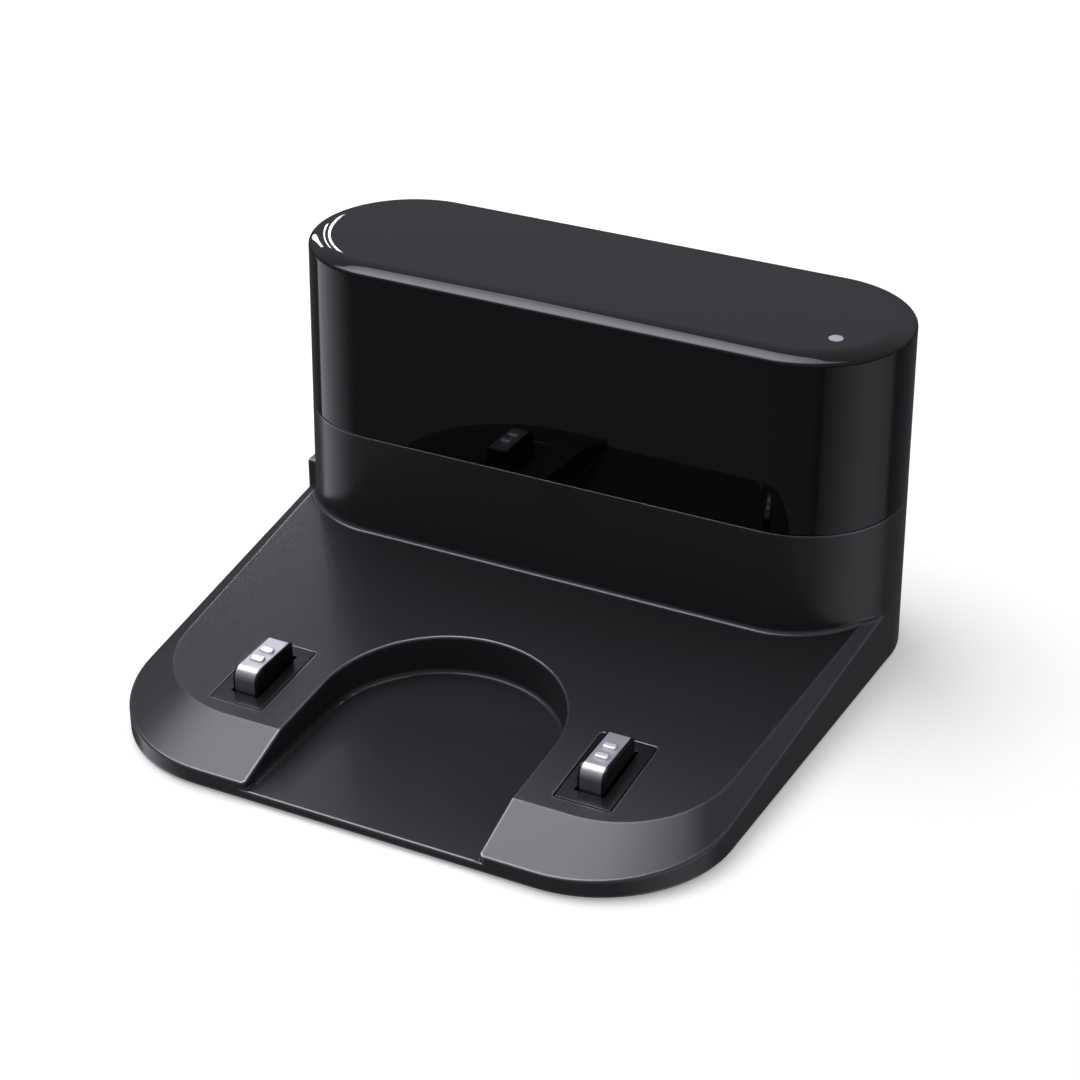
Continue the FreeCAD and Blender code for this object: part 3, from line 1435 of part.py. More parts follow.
shroud_block = box(
    "shroud_block", "2 * dock.shroud_half_length", "dock.beacon_front_y - dock.shroud_front_y",
    "2 * dock.shroud_half_height", "-dock.shroud_half_length", "dock.shroud_front_y",
    "dock.emitter_height - dock.shroud_half_height",
)
EMITTERS = {"left": -1, "middle": 0, "right": 1}
emitter_bores = []
for where, step in EMITTERS.items():
    spot = f"{step} * dock.emitter_spacing"
    emitter_bores.append(
        cylinder(
            f"shroud_bore_{where}", "dock.emitter_radius + dock.shroud_gap",
            "dock.beacon_front_y - dock.shroud_front_y", spot, "dock.shroud_front_y",
            "dock.emitter_height", along="y",
        )
    )
    stem = cylinder(
        f"emitter_stem_{where}", "dock.emitter_radius", "dock.emitter_length - dock.emitter_radius", spot,
        "dock.beacon_front_y - dock.emitter_length + dock.emitter_radius", "dock.emitter_height", along="y",
    )
    dome = document.addObject("Part::Sphere", f"emitter_dome_{where}")
    dome.setExpression("Radius", "dock.emitter_radius")
    place(
        dome, spot, "dock.beacon_front_y - dock.emitter_length + dock.emitter_radius", "dock.emitter_height"
    )
    keep(join(f"infrared_emitter_{where}", stem, dome))
keep(subtract("emitter_shroud", shroud_block, join("shroud_bores", *emitter_bores)))

keep(
    box(
        "status_led", "dock.led_size", "dock.beacon_front_y - dock.light_y + dock.led_size / 2",
        "dock.led_size", "dock.light_x - dock.led_size / 2", "dock.light_y - dock.led_size / 2",
        "dock.beacon_top - dock.led_size",
    )
)
keep(
    box(
        "beacon_header", "dock.socket_length", "dock.socket_width", "dock.socket_height",
        "dock.beacon_left + dock.socket_inset", "dock.beacon_front_y - dock.socket_width",
        "dock.socket_low",
    )
)


# Leads inside the housing. Each route is a list of points, with its first and last run straight
# out of the face that it meets

ARC_SHARE = 0.45


def lead(name, radius, route):
    """A round lead along straight runs, with an arc at each point between them."""
    spots = [Vector(*(value(part) for part in point)) for point in route]
    edges = []
    start = spots[0]
    for before, spot, after in zip(spots, spots[1:], spots[2:]):
        back, ahead = before - spot, after - spot
        half = back.getAngle(ahead) / 2
        reach = ARC_SHARE * min(back.Length, ahead.Length)
        back.normalize()
        ahead.normalize()
        arrive, leave = spot + back * reach, spot + ahead * reach
        bend_radius = reach * math.tan(half)
        centre = spot + (back + ahead).normalize() * (bend_radius / math.sin(half))
        top = centre + (spot - centre).normalize() * bend_radius
        edges.append(Part.LineSegment(start, arrive).toShape())
        edges.append(Part.Arc(arrive, top, leave).toShape())
        print(f"{name}: bend of {bend_radius:.1f} mm")
        start = leave
    edges.append(Part.LineSegment(start, spots[-1]).toShape())
    path = Part.Wire(edges)
    ring = Part.Wire([Part.Circle(spots[0], spots[1] - spots[0], value(radius)).toShape()])
    tube = path.makePipeShell([ring], True, False)
    if not close(tube.Volume / (math.pi * value(radius) ** 2 * path.Length), 1):
        raise ValueError(f"{name} isn't a whole tube")
    feature = document.addObject("Part::Feature", name)
    feature.Shape = tube
    feature.Placement = Placement()
    return feature


TAB_Y = "(dock.contact_y + dock.bezel_length / 2 + dock.contact_lead_start)"
TAB_Z = f"({COVER_TOP} + dock.terminal_thickness + dock.contact_lead_radius + dock.touch_gap)"
HEADER_FACE = "(dock.header_y - dock.header_width / 2)"
HEADER_ENTRY = f"({BOARD_TOP} + dock.header_entry)"
HEADER_LEFT = "(dock.header_x - dock.header_pitch / 2)"
HEADER_RIGHT = "(dock.header_x + dock.header_pitch / 2)"
LEAD_ROW = f"({HEADER_FACE} - dock.lead_row_gap)"
keep(
    lead(
        "contact_lead_left", "dock.contact_lead_radius",
        [
            ("-dock.contact_x", TAB_Y, TAB_Z),
            ("-dock.contact_x", "dock.lead_lift_y", TAB_Z),
            ("-dock.contact_x - dock.lead_sway", "dock.lead_high_y", "dock.lead_high"),
            (
                "-dock.contact_x - dock.lead_sway - dock.lead_wander", "dock.lead_beside_y",
                "dock.lead_beside_height",
            ),
            (HEADER_LEFT, f"{LEAD_ROW} + dock.lead_wander", HEADER_ENTRY),
            (HEADER_LEFT, HEADER_FACE, HEADER_ENTRY),
        ],
    )
)
keep(
    lead(
        "contact_lead_right", "dock.contact_lead_radius",
        [
            ("dock.contact_x", TAB_Y, TAB_Z),
            ("dock.contact_x", "dock.lead_lift_y", TAB_Z),
            ("dock.contact_x + dock.lead_wander", "dock.lead_high_y", "dock.lead_high"),
            ("dock.contact_x - dock.lead_sway", "dock.lead_beside_y", "dock.lead_beside_height"),
            ("dock.lead_row_right_x", f"{LEAD_ROW} - dock.lead_wander", HEADER_ENTRY),
            ("dock.lead_row_middle_x", LEAD_ROW, HEADER_ENTRY),
            ("dock.lead_row_left_x", f"{LEAD_ROW} - dock.lead_wander", HEADER_ENTRY),
            ("dock.lead_row_end_x", LEAD_ROW, HEADER_ENTRY),
            (HEADER_RIGHT, LEAD_ROW, HEADER_ENTRY),
            (HEADER_RIGHT, HEADER_FACE, HEADER_ENTRY),
        ],
    )
)

PIN_HEIGHTS = {
    where: f"({INLET_Z} + {sign} * dock.socket_half_spread)" for where, sign in PINS.items()
}
BOARD_PAD_X = "(dock.board_length / 2 - dock.board_pad_inset)"
inlet_leads = [
    lead(
        "inlet_lead_upper", "dock.inlet_lead_radius",
        [
            (PIN_END, INLET_Y, PIN_HEIGHTS["upper"]),
            (f"{PIN_END} + dock.inlet_lead_out", INLET_Y, PIN_HEIGHTS["upper"]),
            (
                f"{PIN_END} + dock.inlet_lead_side", f"{INLET_Y} - dock.inlet_lead_forward",
                "dock.inlet_lead_upper_height",
            ),
            (BOARD_PAD_X, "dock.board_y + dock.board_pad_rear", f"{BOARD_TOP} + dock.board_pad_upper_rise"),
            (BOARD_PAD_X, "dock.board_y + dock.board_pad_rear", BOARD_TOP),
        ],
    ),
    lead(
        "inlet_lead_lower", "dock.inlet_lead_radius",
        [
            (PIN_END, INLET_Y, PIN_HEIGHTS["lower"]),
            (f"{PIN_END} + dock.inlet_lead_out", INLET_Y, PIN_HEIGHTS["lower"]),
            (
                f"{PIN_END} + dock.inlet_lead_side - dock.inlet_lead_inner",
                f"{INLET_Y} - dock.inlet_lead_forward", "dock.inlet_lead_lower_height",
            ),
            (BOARD_PAD_X, "dock.board_y + dock.board_pad_front", f"{BOARD_TOP} + dock.board_pad_lower_rise"),
            (BOARD_PAD_X, "dock.board_y + dock.board_pad_front", BOARD_TOP),
        ],
    ),
]
keep(group("inlet_leads", inlet_leads))

CABLE_FOOT = f"({BOARD_TOP} + dock.header_height)"
CABLE_END_X = "(dock.beacon_left + dock.socket_inset)"
CABLE_END_Y = "(dock.beacon_front_y - dock.socket_width / 2)"
CABLE_END_Z = "(dock.socket_low + dock.socket_height / 2)"
keep(
    lead(
        "beacon_cable", "dock.beacon_cable_radius",
        [
            ("dock.header_x", "dock.header_y", CABLE_FOOT),
            ("dock.header_x", "dock.header_y", f"{CABLE_FOOT} + dock.cable_rise"),
            ("dock.cable_hole_x", "dock.cable_hole_y", "dock.shelf_height + dock.cable_above_shelf"),
            (
                "dock.cable_hole_x + dock.cable_lean", "dock.cable_hole_y + dock.cable_lean",
                "dock.shelf_height + dock.cable_turn_height",
            ),
            (f"{CABLE_END_X} - dock.cable_end_run", CABLE_END_Y, CABLE_END_Z),
            (CABLE_END_X, CABLE_END_Y, CABLE_END_Z),
        ],
    )
)


# Check everything, then write one file for each sub-part

document.recompute()
for thing in document.Objects:
    if "Invalid" in thing.State or "Error" in thing.State:
        raise ValueError(f"{thing.Name} could not be built")
os.makedirs("parts", exist_ok=True)
for thing in sub_parts:
    if thing.Shape.isNull() or not thing.Shape.isValid():
        raise ValueError(f"{thing.Name} has no valid shape")
for thing in sub_parts:
    thing.Shape.exportStep(f"parts/{thing.Name}.step")
    print(f"{thing.Name}: {len(thing.Shape.Solids)} solid(s), {thing.Shape.Volume:.1f} mm3")
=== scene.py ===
import math

import bpy
from mathutils import Matrix, Vector


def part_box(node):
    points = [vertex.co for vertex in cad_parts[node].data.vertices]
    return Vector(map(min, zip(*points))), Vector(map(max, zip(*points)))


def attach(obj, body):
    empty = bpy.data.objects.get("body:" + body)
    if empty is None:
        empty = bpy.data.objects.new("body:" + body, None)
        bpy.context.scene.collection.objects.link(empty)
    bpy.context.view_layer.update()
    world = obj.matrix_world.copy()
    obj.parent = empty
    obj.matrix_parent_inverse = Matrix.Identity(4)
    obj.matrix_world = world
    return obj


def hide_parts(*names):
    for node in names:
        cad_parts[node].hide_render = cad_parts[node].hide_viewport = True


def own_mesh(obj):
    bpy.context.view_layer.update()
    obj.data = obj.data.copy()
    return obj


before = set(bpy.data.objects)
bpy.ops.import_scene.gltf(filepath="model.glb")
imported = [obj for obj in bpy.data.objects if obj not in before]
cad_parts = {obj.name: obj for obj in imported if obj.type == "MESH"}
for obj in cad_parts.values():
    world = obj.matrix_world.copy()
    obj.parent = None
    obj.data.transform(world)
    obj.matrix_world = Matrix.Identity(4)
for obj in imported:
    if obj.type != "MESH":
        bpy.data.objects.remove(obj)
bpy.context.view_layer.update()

scene = bpy.context.scene
scene.view_settings.view_transform = "Standard"


# Base housing. The satin black moulding that carries everything: sloping platform, ramps, round
# bay and the lower band of the tower. It is injection moulded in ABS, and its tool was
# spark-eroded, which leaves an even, very fine grain that softens every reflection.

def put(tree, kind, **settings):
    """A new node in a tree; a setting is a property of the node or the value of an input."""
    node = tree.nodes.new(kind)
    for name, setting in settings.items():
        if hasattr(node, name):
            setattr(node, name, setting)
        else:
            node.inputs[name.replace("_", " ").title()].default_value = setting
    return node


def sockets(group, inputs, outputs):
    """Names a node group's sockets; an input has its usual value."""
    for name, usual in inputs.items():
        kind = "NodeSocketFloat" if isinstance(usual, float) else "NodeSocketVector"
        group.interface.new_socket(name, in_out="INPUT", socket_type=kind).default_value = usual
    for name in outputs:
        group.interface.new_socket(name, in_out="OUTPUT", socket_type="NodeSocketFloat")
    return put(group, "NodeGroupInput"), put(group, "NodeGroupOutput"), put(group, "ShaderNodeTexCoord")


def grain_group():
    """Spark-eroded grain: a fine even relief, with slow drifts in sheen and in tone."""
    group = bpy.data.node_groups.new("moulded_grain", "ShaderNodeTree")
    given, result, place = sockets(
        group,
        {"Grain Size": 0.0003, "Sheen Low": 0.3, "Sheen High": 0.4},
        ("Relief", "Roughness", "Tone"),
    )
    links = group.links
    grains_per_metre = put(group, "ShaderNodeMath", operation="DIVIDE")
    grains_per_metre.inputs[0].default_value = 1.0
    fine = put(group, "ShaderNodeTexNoise", detail=2.0, roughness=0.6)
    slow = put(group, "ShaderNodeTexNoise", scale=35.0, detail=3.0, roughness=0.5)
    streaks = put(group, "ShaderNodeTexNoise", scale=16.0, detail=2.0)
    sheen = put(group, "ShaderNodeMapRange")
    links.new(given.outputs["Grain Size"], grains_per_metre.inputs[1])
    links.new(grains_per_metre.outputs[0], fine.inputs["Scale"])
    for texture in (fine, slow, streaks):
        links.new(place.outputs["Object"], texture.inputs["Vector"])
    links.new(slow.outputs["Fac"], sheen.inputs["Value"])
    links.new(given.outputs["Sheen Low"], sheen.inputs["To Min"])
    links.new(given.outputs["Sheen High"], sheen.inputs["To Max"])
    links.new(fine.outputs["Fac"], result.inputs["Relief"])
    links.new(sheen.outputs["Result"], result.inputs["Roughness"])
    links.new(streaks.outputs["Fac"], result.inputs["Tone"])
    return group


def new_finish(name, **settings):
    """A material with one Principled shader, whose plain values are set on its own sockets."""
    finish = bpy.data.materials.new(name)
    finish.use_nodes = True
    shader = finish.node_tree.nodes["Principled BSDF"]
    for socket, setting in settings.items():
        shader.inputs[socket.replace("_", " ").title().replace("Ior", "IOR")].default_value = setting
    return finish, finish.node_tree, shader


def two_tones(tree, shader, mask, colour, spread):
    """Lets a colour drift a little, from darker to lighter, as a mask goes from 0 to 1."""
    tint = put(tree, "ShaderNodeMix", data_type="RGBA")
    tint.inputs[6].default_value = (*((1 - spread) * part for part in colour), 1)
    tint.inputs[7].default_value = (*((1 + spread) * part for part in colour), 1)
    tree.links.new(mask, tint.inputs["Factor"])
    tree.links.new(tint.outputs[2], shader.inputs["Base Color"])


def raise_relief(tree, shader, height, depth, edge=0.0001):
    """Turns a height mask into relief and breaks the sharp edges. Both sizes are in metres."""
    rounded = put(tree, "ShaderNodeBevel", samples=6, radius=edge)
    bump = put(tree, "ShaderNodeBump", distance=depth, strength=1.0)
    tree.links.new(rounded.outputs["Normal"], bump.inputs["Normal"])
    tree.links.new(height, bump.inputs["Height"])
    tree.links.new(bump.outputs["Normal"], shader.inputs["Normal"])


moulded_grain = grain_group()


def moulded_plastic(name, colour, grain, relief, sheen, spread=0.1, edge=0.0001, **settings):
    """Plastic as it comes out of a grained tool. Grain and relief are in metres."""
    finish, tree, shader = new_finish(name, **settings)
    surface = put(tree, "ShaderNodeGroup", node_tree=moulded_grain)
    surface.inputs["Grain Size"].default_value = grain
    surface.inputs["Sheen Low"].default_value = sheen[0]
    surface.inputs["Sheen High"].default_value = sheen[1]
    tree.links.new(surface.outputs["Roughness"], shader.inputs["Roughness"])
    two_tones(tree, shader, surface.outputs["Tone"], colour, spread)
    raise_relief(tree, shader, surface.outputs["Relief"], relief, edge)
    return finish


def dress(finish, *nodes):
    """Gives CAD nodes their finish."""
    for name in nodes:
        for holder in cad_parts[name].material_slots:
            holder.material = finish


SATIN_BLACK = (0.02, 0.02, 0.021)
satin_black = moulded_plastic(
    "satin_black", SATIN_BLACK, 0.00025, 0.0000022, (0.215, 0.25), edge=0.0003
)
# The rounded edges are given a raised refractive index, a painted highlight, so they mirror more than
# the faces do. The fillet round the bay's floor is given a lowered one, painted shade. Sizes are in
# metres
FACE_IOR, EDGE_HIGHLIGHT_IOR, BAY_FOOT_SHADE_IOR = 1.5, 2.4, 1.25
EDGE_REACH, BAY_FOOT_HEIGHT, BAY_FOOT_HALF = 0.0008, 0.0033, 0.00065
satin = satin_black.node_tree
near_edge = put(satin, "ShaderNodeBevel", samples=6, radius=EDGE_REACH)
face = put(satin, "ShaderNodeNewGeometry")
agreeing = put(satin, "ShaderNodeVectorMath", operation="DOT_PRODUCT")
edge_highlight = put(satin, "ShaderNodeMapRange")
edge_highlight.inputs["From Min"].default_value = 0.9985
edge_highlight.inputs["From Max"].default_value = 0.985
satin_place = put(satin, "ShaderNodeTexCoord")
satin_height = put(satin, "ShaderNodeSeparateXYZ")
at_bay_foot = put(satin, "ShaderNodeMath", operation="COMPARE")
at_bay_foot.inputs[1].default_value = BAY_FOOT_HEIGHT
at_bay_foot.inputs[2].default_value = BAY_FOOT_HALF
# Painted highlight on the edges and painted shade at the bay's foot, both through the refractive index
painted_edge_ior = put(satin, "ShaderNodeMix", data_type="FLOAT", a=EDGE_HIGHLIGHT_IOR, b=BAY_FOOT_SHADE_IOR)
housing_ior = put(satin, "ShaderNodeMix", data_type="FLOAT", a=FACE_IOR)
satin.links.new(near_edge.outputs["Normal"], agreeing.inputs[0])
satin.links.new(face.outputs["Normal"], agreeing.inputs[1])
satin.links.new(agreeing.outputs["Value"], edge_highlight.inputs["Value"])
satin.links.new(satin_place.outputs["Object"], satin_height.inputs[0])
satin.links.new(satin_height.outputs["Z"], at_bay_foot.inputs[0])
satin.links.new(at_bay_foot.outputs[0], painted_edge_ior.inputs["Factor"])
satin.links.new(edge_highlight.outputs["Result"], housing_ior.inputs["Factor"])
satin.links.new(painted_edge_ior.outputs["Result"], housing_ior.inputs["B"])
satin.links.new(housing_ior.outputs["Result"], satin.nodes["Principled BSDF"].inputs["IOR"])
dress(satin_black, "base_housing")


# Bottom cover. A flat tray, moulded in the same black as the housing but with a coarser grain,
# that closes the housing from below and carries the ballast and the power board on its posts.

UNDERSIDE_BLACK = (0.014, 0.014, 0.0145)
dress(
    moulded_plastic("underside_black", UNDERSIDE_BLACK, 0.0005, 0.000012, (0.5, 0.6)), "bottom_cover"
)


# Feet. Four round pads of soft black rubber, cut from sheet and glued into seats in the bottom
# cover. Their faces are matt, a little dusty, and finely pitted so that they grip.

FOOT_RUBBER = (0.028, 0.028, 0.029)
dress(
    moulded_plastic("foot_rubber", FOOT_RUBBER, 0.0007, 0.00003, (0.78, 0.9), spread=0.25),
    "foot_front_left", "foot_front_right", "foot_rear_left", "foot_rear_right",
)


# Bottom screws. Five steel screws with zinc plating go up through the bottom cover into the
# housing's bosses. The plating is blue-grey, with the fine drawing lines of cold-headed wire.

def drawn_group():
    """Metal drawn or brushed one way: fine lines in relief and in roughness, with a patina."""
    group = bpy.data.node_groups.new("drawn_lines", "ShaderNodeTree")
    given, result, place = sockets(
        group,
        {"Lines Per Metre": (9000.0, 150.0, 150.0), "Polish": 0.2, "Wear": 0.4},
        ("Relief", "Roughness", "Tone"),
    )
    links = group.links
    stretch = put(group, "ShaderNodeVectorMath", operation="MULTIPLY")
    lines = put(group, "ShaderNodeTexNoise", scale=1.0, detail=3.0, roughness=0.65)
    patina = put(group, "ShaderNodeTexNoise", scale=260.0, detail=4.0)
    mixed = put(group, "ShaderNodeMix", data_type="FLOAT", factor_mode="UNIFORM")
    mixed.inputs["Factor"].default_value = 0.15
    rough = put(group, "ShaderNodeMapRange")
    links.new(place.outputs["Object"], stretch.inputs[0])
    links.new(given.outputs["Lines Per Metre"], stretch.inputs[1])
    links.new(stretch.outputs[0], lines.inputs["Vector"])
    links.new(place.outputs["Object"], patina.inputs["Vector"])
    links.new(lines.outputs["Fac"], mixed.inputs["A"])
    links.new(patina.outputs["Fac"], mixed.inputs["B"])
    links.new(mixed.outputs["Result"], rough.inputs["Value"])
    links.new(given.outputs["Polish"], rough.inputs["To Min"])
    links.new(given.outputs["Wear"], rough.inputs["To Max"])
    links.new(lines.outputs["Fac"], result.inputs["Relief"])
    links.new(rough.outputs["Result"], result.inputs["Roughness"])
    links.new(patina.outputs["Fac"], result.inputs["Tone"])
    return group


drawn_lines = drawn_group()


def drawn_metal(name, colour, lines, polish, wear, relief=0.000002, spread=0.08, edge=0.0001):
    """Bare or plated metal with lines along one way, given as how many cross a metre of each."""
    finish, tree, shader = new_finish(name, metallic=1.0)
    surface = put(tree, "ShaderNodeGroup", node_tree=drawn_lines)
    surface.inputs["Lines Per Metre"].default_value = lines
    surface.inputs["Polish"].default_value = polish
    surface.inputs["Wear"].default_value = wear
    tree.links.new(surface.outputs["Roughness"], shader.inputs["Roughness"])
    two_tones(tree, shader, surface.outputs["Tone"], colour, spread)
    raise_relief(tree, shader, surface.outputs["Relief"], relief, edge)
    return finish


ZINC = (0.52, 0.54, 0.58)
zinc_plate = drawn_metal("zinc_plate", ZINC, (2500.0, 2500.0, 300.0), 0.25, 0.5)
dress(zinc_plate, "bottom_screws", "board_screws")


# Ballast plate. A strip of cold-rolled steel on two pegs of the bottom cover. It keeps the light
# dock in place when the robot drives on. Rolling left long faint lines along it.

ROLLED_STEEL = (0.4, 0.41, 0.42)
dress(
    drawn_metal("rolled_steel", ROLLED_STEEL, (120.0, 4000.0, 900.0), 0.3, 0.55, spread=0.2),
    "ballast_plate",
)


# Contact modules. Each has a guide block let into the platform and a block that slides in it.
# Both are moulded in black acetal, which stays slippery; the guide came out of a smoother tool
# than the housing, so it mirrors the foot of the contact a little.

GUIDE_BLACK = (0.009, 0.009, 0.0095)
dress(
    moulded_plastic("guide_acetal", GUIDE_BLACK, 0.0002, 0.0000012, (0.16, 0.22), edge=0.0002),
    "contact_bezel_left", "contact_bezel_right",
)
SLIDER_BLACK = (0.004, 0.004, 0.0042)
dress(
    moulded_plastic("slider_acetal", SLIDER_BLACK, 0.0002, 0.000001, (0.14, 0.2), edge=0.0003),
    "contact_carrier_left", "contact_carrier_right",
)


# Contact strips. Brass, stamped and bent over the front of the sliding block, then plated with
# nickel and brushed along its length. Two bumps are pressed up in its top to meet the robot. Their
# tops are coloured a paler nickel than the strip, a painted highlight.

NICKEL, NICKEL_HIGHLIGHT = (0.51, 0.505, 0.525), (0.94, 0.94, 0.96)
BUMP_HEIGHT, BUMP_FOOT, BUMP_SHOULDER = 0.0005, 0.00002, 0.0001
EDGE_ROUNDING, BUMP_ROUNDING = 0.0001, 0.0006
strip_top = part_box("contact_strip_left")[1][2] - BUMP_HEIGHT
brushed_nickel = drawn_metal(
    "brushed_nickel", NICKEL, (2500.0, 60.0, 60.0), 0.35, 0.45, relief=0.000003, spread=0.04
)
plating = brushed_nickel.node_tree
strip_place = put(plating, "ShaderNodeTexCoord")
strip_level = put(plating, "ShaderNodeSeparateXYZ")
on_bump = put(plating, "ShaderNodeMapRange")
on_bump.inputs["From Min"].default_value = strip_top + BUMP_FOOT
on_bump.inputs["From Max"].default_value = strip_top + BUMP_SHOULDER
plating.links.new(strip_place.outputs["Object"], strip_level.inputs[0])
plating.links.new(strip_level.outputs["Z"], on_bump.inputs["Value"])
# The strip's edges are nearly sharp and the bumps are round
rounding = put(plating, "ShaderNodeMapRange")
rounding.inputs["To Min"].default_value = EDGE_ROUNDING
rounding.inputs["To Max"].default_value = BUMP_ROUNDING
plating.links.new(on_bump.outputs["Result"], rounding.inputs["Value"])
plating.links.new(rounding.outputs["Result"], plating.nodes["Bevel"].inputs["Radius"])
# The bump tops are mixed to a paler nickel: a painted highlight
bump_highlight = put(plating, "ShaderNodeMix", data_type="RGBA")
plated_colour = plating.nodes["Principled BSDF"].inputs["Base Color"]
plating.links.new(plated_colour.links[0].from_socket, bump_highlight.inputs[6])
bump_highlight.inputs[7].default_value = (*NICKEL_HIGHLIGHT, 1)
plating.links.new(on_bump.outputs["Result"], bump_highlight.inputs["Factor"])
plating.links.new(bump_highlight.outputs[2], plated_colour)
dress(brushed_nickel, "contact_strip_left", "contact_strip_right")


# Springs. A coil of spring steel wire stands in a bore of each sliding block, between the terminal
# and the strip, and pushes them up. The real spring shortens as the contact is pressed down; this
# coil is drawn at its rest length and stays fixed to the dock.

SPRING_WIRE, SPRING_TURNS, PRESS = 0.00045, 5, 0.003
WIRE_SIDES, STEPS_PER_TURN, SMOOTH_ANGLE = 12, 32, math.radians(50)
spring_steel = drawn_metal(
    "spring_steel", (0.48, 0.48, 0.5), (3000.0, 3000.0, 3000.0), 0.25, 0.4
)
for side in ("left", "right"):
    low, high = (Vector(corner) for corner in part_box(f"contact_spring_{side}"))
    foot = Vector(((low.x + high.x) / 2, (low.y + high.y) / 2, low.z))
    bpy.ops.object.select_all(action="DESELECT")
    bpy.ops.mesh.primitive_circle_add(
        vertices=WIRE_SIDES, radius=SPRING_WIRE / 2,
        location=((high.x - low.x - SPRING_WIRE) / 2, 0, SPRING_WIRE / 2), rotation=(math.pi / 2, 0, 0),
    )
    coil = bpy.context.object
    coil.name = f"coil_{side}"
    bpy.ops.object.transform_apply(location=True, rotation=True)
    wound = coil.modifiers.new("wound", "SCREW")
    wound.axis = "Z"
    wound.iterations = SPRING_TURNS
    wound.screw_offset = (high.z - low.z - SPRING_WIRE) / SPRING_TURNS
    wound.steps = wound.render_steps = STEPS_PER_TURN
    bpy.ops.object.modifier_apply(modifier=wound.name)
    bpy.ops.object.mode_set(mode="EDIT")
    bpy.ops.mesh.select_all(action="SELECT")
    bpy.ops.mesh.fill_holes(sides=0)
    bpy.ops.mesh.normals_make_consistent(inside=False)
    bpy.ops.object.mode_set(mode="OBJECT")
    bpy.ops.transform.translate(value=foot)
    bpy.ops.object.transform_apply(location=True)
    bpy.ops.object.shade_smooth_by_angle(angle=SMOOTH_ANGLE)
    coil.data.materials.append(spring_steel)
    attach(coil, "dock")
    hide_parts(f"contact_spring_{side}")
    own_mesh(coil)


# Terminals. A tinned brass plate under each spring carries its current on, and leaves the module
# at the back as a tab to which the lead is soldered.

TINNED = (0.66, 0.66, 0.65)
dress(
    drawn_metal("tinned_brass", TINNED, (2000.0, 400.0, 400.0), 0.3, 0.5),
    "contact_terminal_left", "contact_terminal_right",
)


# Leads. Stranded copper in sleeves of soft black vinyl. They run from the contacts and from the
# inlet to the power board, and from the board up to the beacon.

SLEEVE_BLACK = (0.02, 0.02, 0.022)
dress(
    moulded_plastic("vinyl_sleeve", SLEEVE_BLACK, 0.0006, 0.000006, (0.4, 0.5)),
    "contact_lead_left", "contact_lead_right", "inlet_leads", "beacon_cable",
)


# Power board. Glass-fibre board under green solder resist, screwed to posts of the bottom cover.
# The weave of the glass shows through the resist as faint, square texture.

BOARD_GREEN, WEAVE_SCALE, WEAVE_DEPTH = (0.018, 0.095, 0.042), 420.0, 0.000005
board_resist, resist_tree, resist_shader = new_finish(
    "board_resist", roughness=0.28, coat_weight=0.3, coat_roughness=0.15
)
weave_place = put(resist_tree, "ShaderNodeTexCoord")
warp = put(resist_tree, "ShaderNodeTexWave", scale=WEAVE_SCALE, bands_direction="X")
weft = put(resist_tree, "ShaderNodeTexWave", scale=WEAVE_SCALE, bands_direction="Y")
weave = put(resist_tree, "ShaderNodeMath", operation="MAXIMUM")
for threads in (warp, weft):
    resist_tree.links.new(weave_place.outputs["Object"], threads.inputs["Vector"])
resist_tree.links.new(warp.outputs["Fac"], weave.inputs[0])
resist_tree.links.new(weft.outputs["Fac"], weave.inputs[1])
two_tones(resist_tree, resist_shader, weave.outputs[0], BOARD_GREEN, 0.12)
raise_relief(resist_tree, resist_shader, weave.outputs[0], WEAVE_DEPTH)
dress(board_resist, "power_board", "beacon_board")


# Parts on the power board. Header, capacitors in shrink sleeve, fuse, ferrite core with its taped
# winding, filter ring wound with enamelled wire, and the transistor on its heat sink. All are
# soldered to the board and hidden in the closed housing.

dress(
    moulded_plastic("natural_nylon", (0.72, 0.69, 0.6), 0.0004, 0.000004, (0.4, 0.5)),
    "output_header", "beacon_header",
)
dress(
    moulded_plastic("shrink_sleeve", (0.03, 0.035, 0.06), 0.0009, 0.000004, (0.22, 0.3)),
    "mains_capacitor", "output_capacitor",
)
dress(moulded_plastic("fuse_brown", (0.16, 0.05, 0.03), 0.0003, 0.000004, (0.3, 0.4)), "board_fuse")
dress(
    moulded_plastic(
        "sintered_ferrite", (0.045, 0.044, 0.043), 0.0003, 0.00002, (0.55, 0.7), spread=0.3
    ),
    "transformer_core",
)
dress(
    moulded_plastic("polyester_tape", (0.55, 0.38, 0.06), 0.0012, 0.000006, (0.25, 0.35)),
    "transformer_winding",
)
ENAMELLED_COPPER = (0.5, 0.19, 0.08)
dress(
    drawn_metal(
        "enamelled_copper", ENAMELLED_COPPER, (1400.0, 1400.0, 1400.0), 0.15, 0.3, relief=0.00005
    ),
    "line_filter_coil",
)
dress(drawn_metal("sheet_aluminium", (0.7, 0.7, 0.72), (60.0, 60.0, 3000.0), 0.3, 0.5), "heat_sink")
dress(
    moulded_plastic("moulded_epoxy", (0.022, 0.022, 0.023), 0.0003, 0.00001, (0.5, 0.6)),
    "switching_transistor",
)


# Mains inlet. A two-pin socket of black nylon in the right-hand wall of the plug's recess, with
# round pins of nickel-plated brass pressed into its floor.

INLET_BLACK = (0.013, 0.013, 0.0135)
dress(
    moulded_plastic("inlet_nylon", INLET_BLACK, 0.0003, 0.000005, (0.36, 0.44)), "mains_inlet"
)
PIN_NICKEL = (0.66, 0.62, 0.54)
dress(drawn_metal("plated_pins", PIN_NICKEL, (200.0, 5000.0, 5000.0), 0.12, 0.25), "inlet_pins")


# Beacon. A shelf across the tower holds a board on edge. In front of it three infrared emitters
# of smoky resin look out through bores in a black shroud, and shine through the gloss cover.

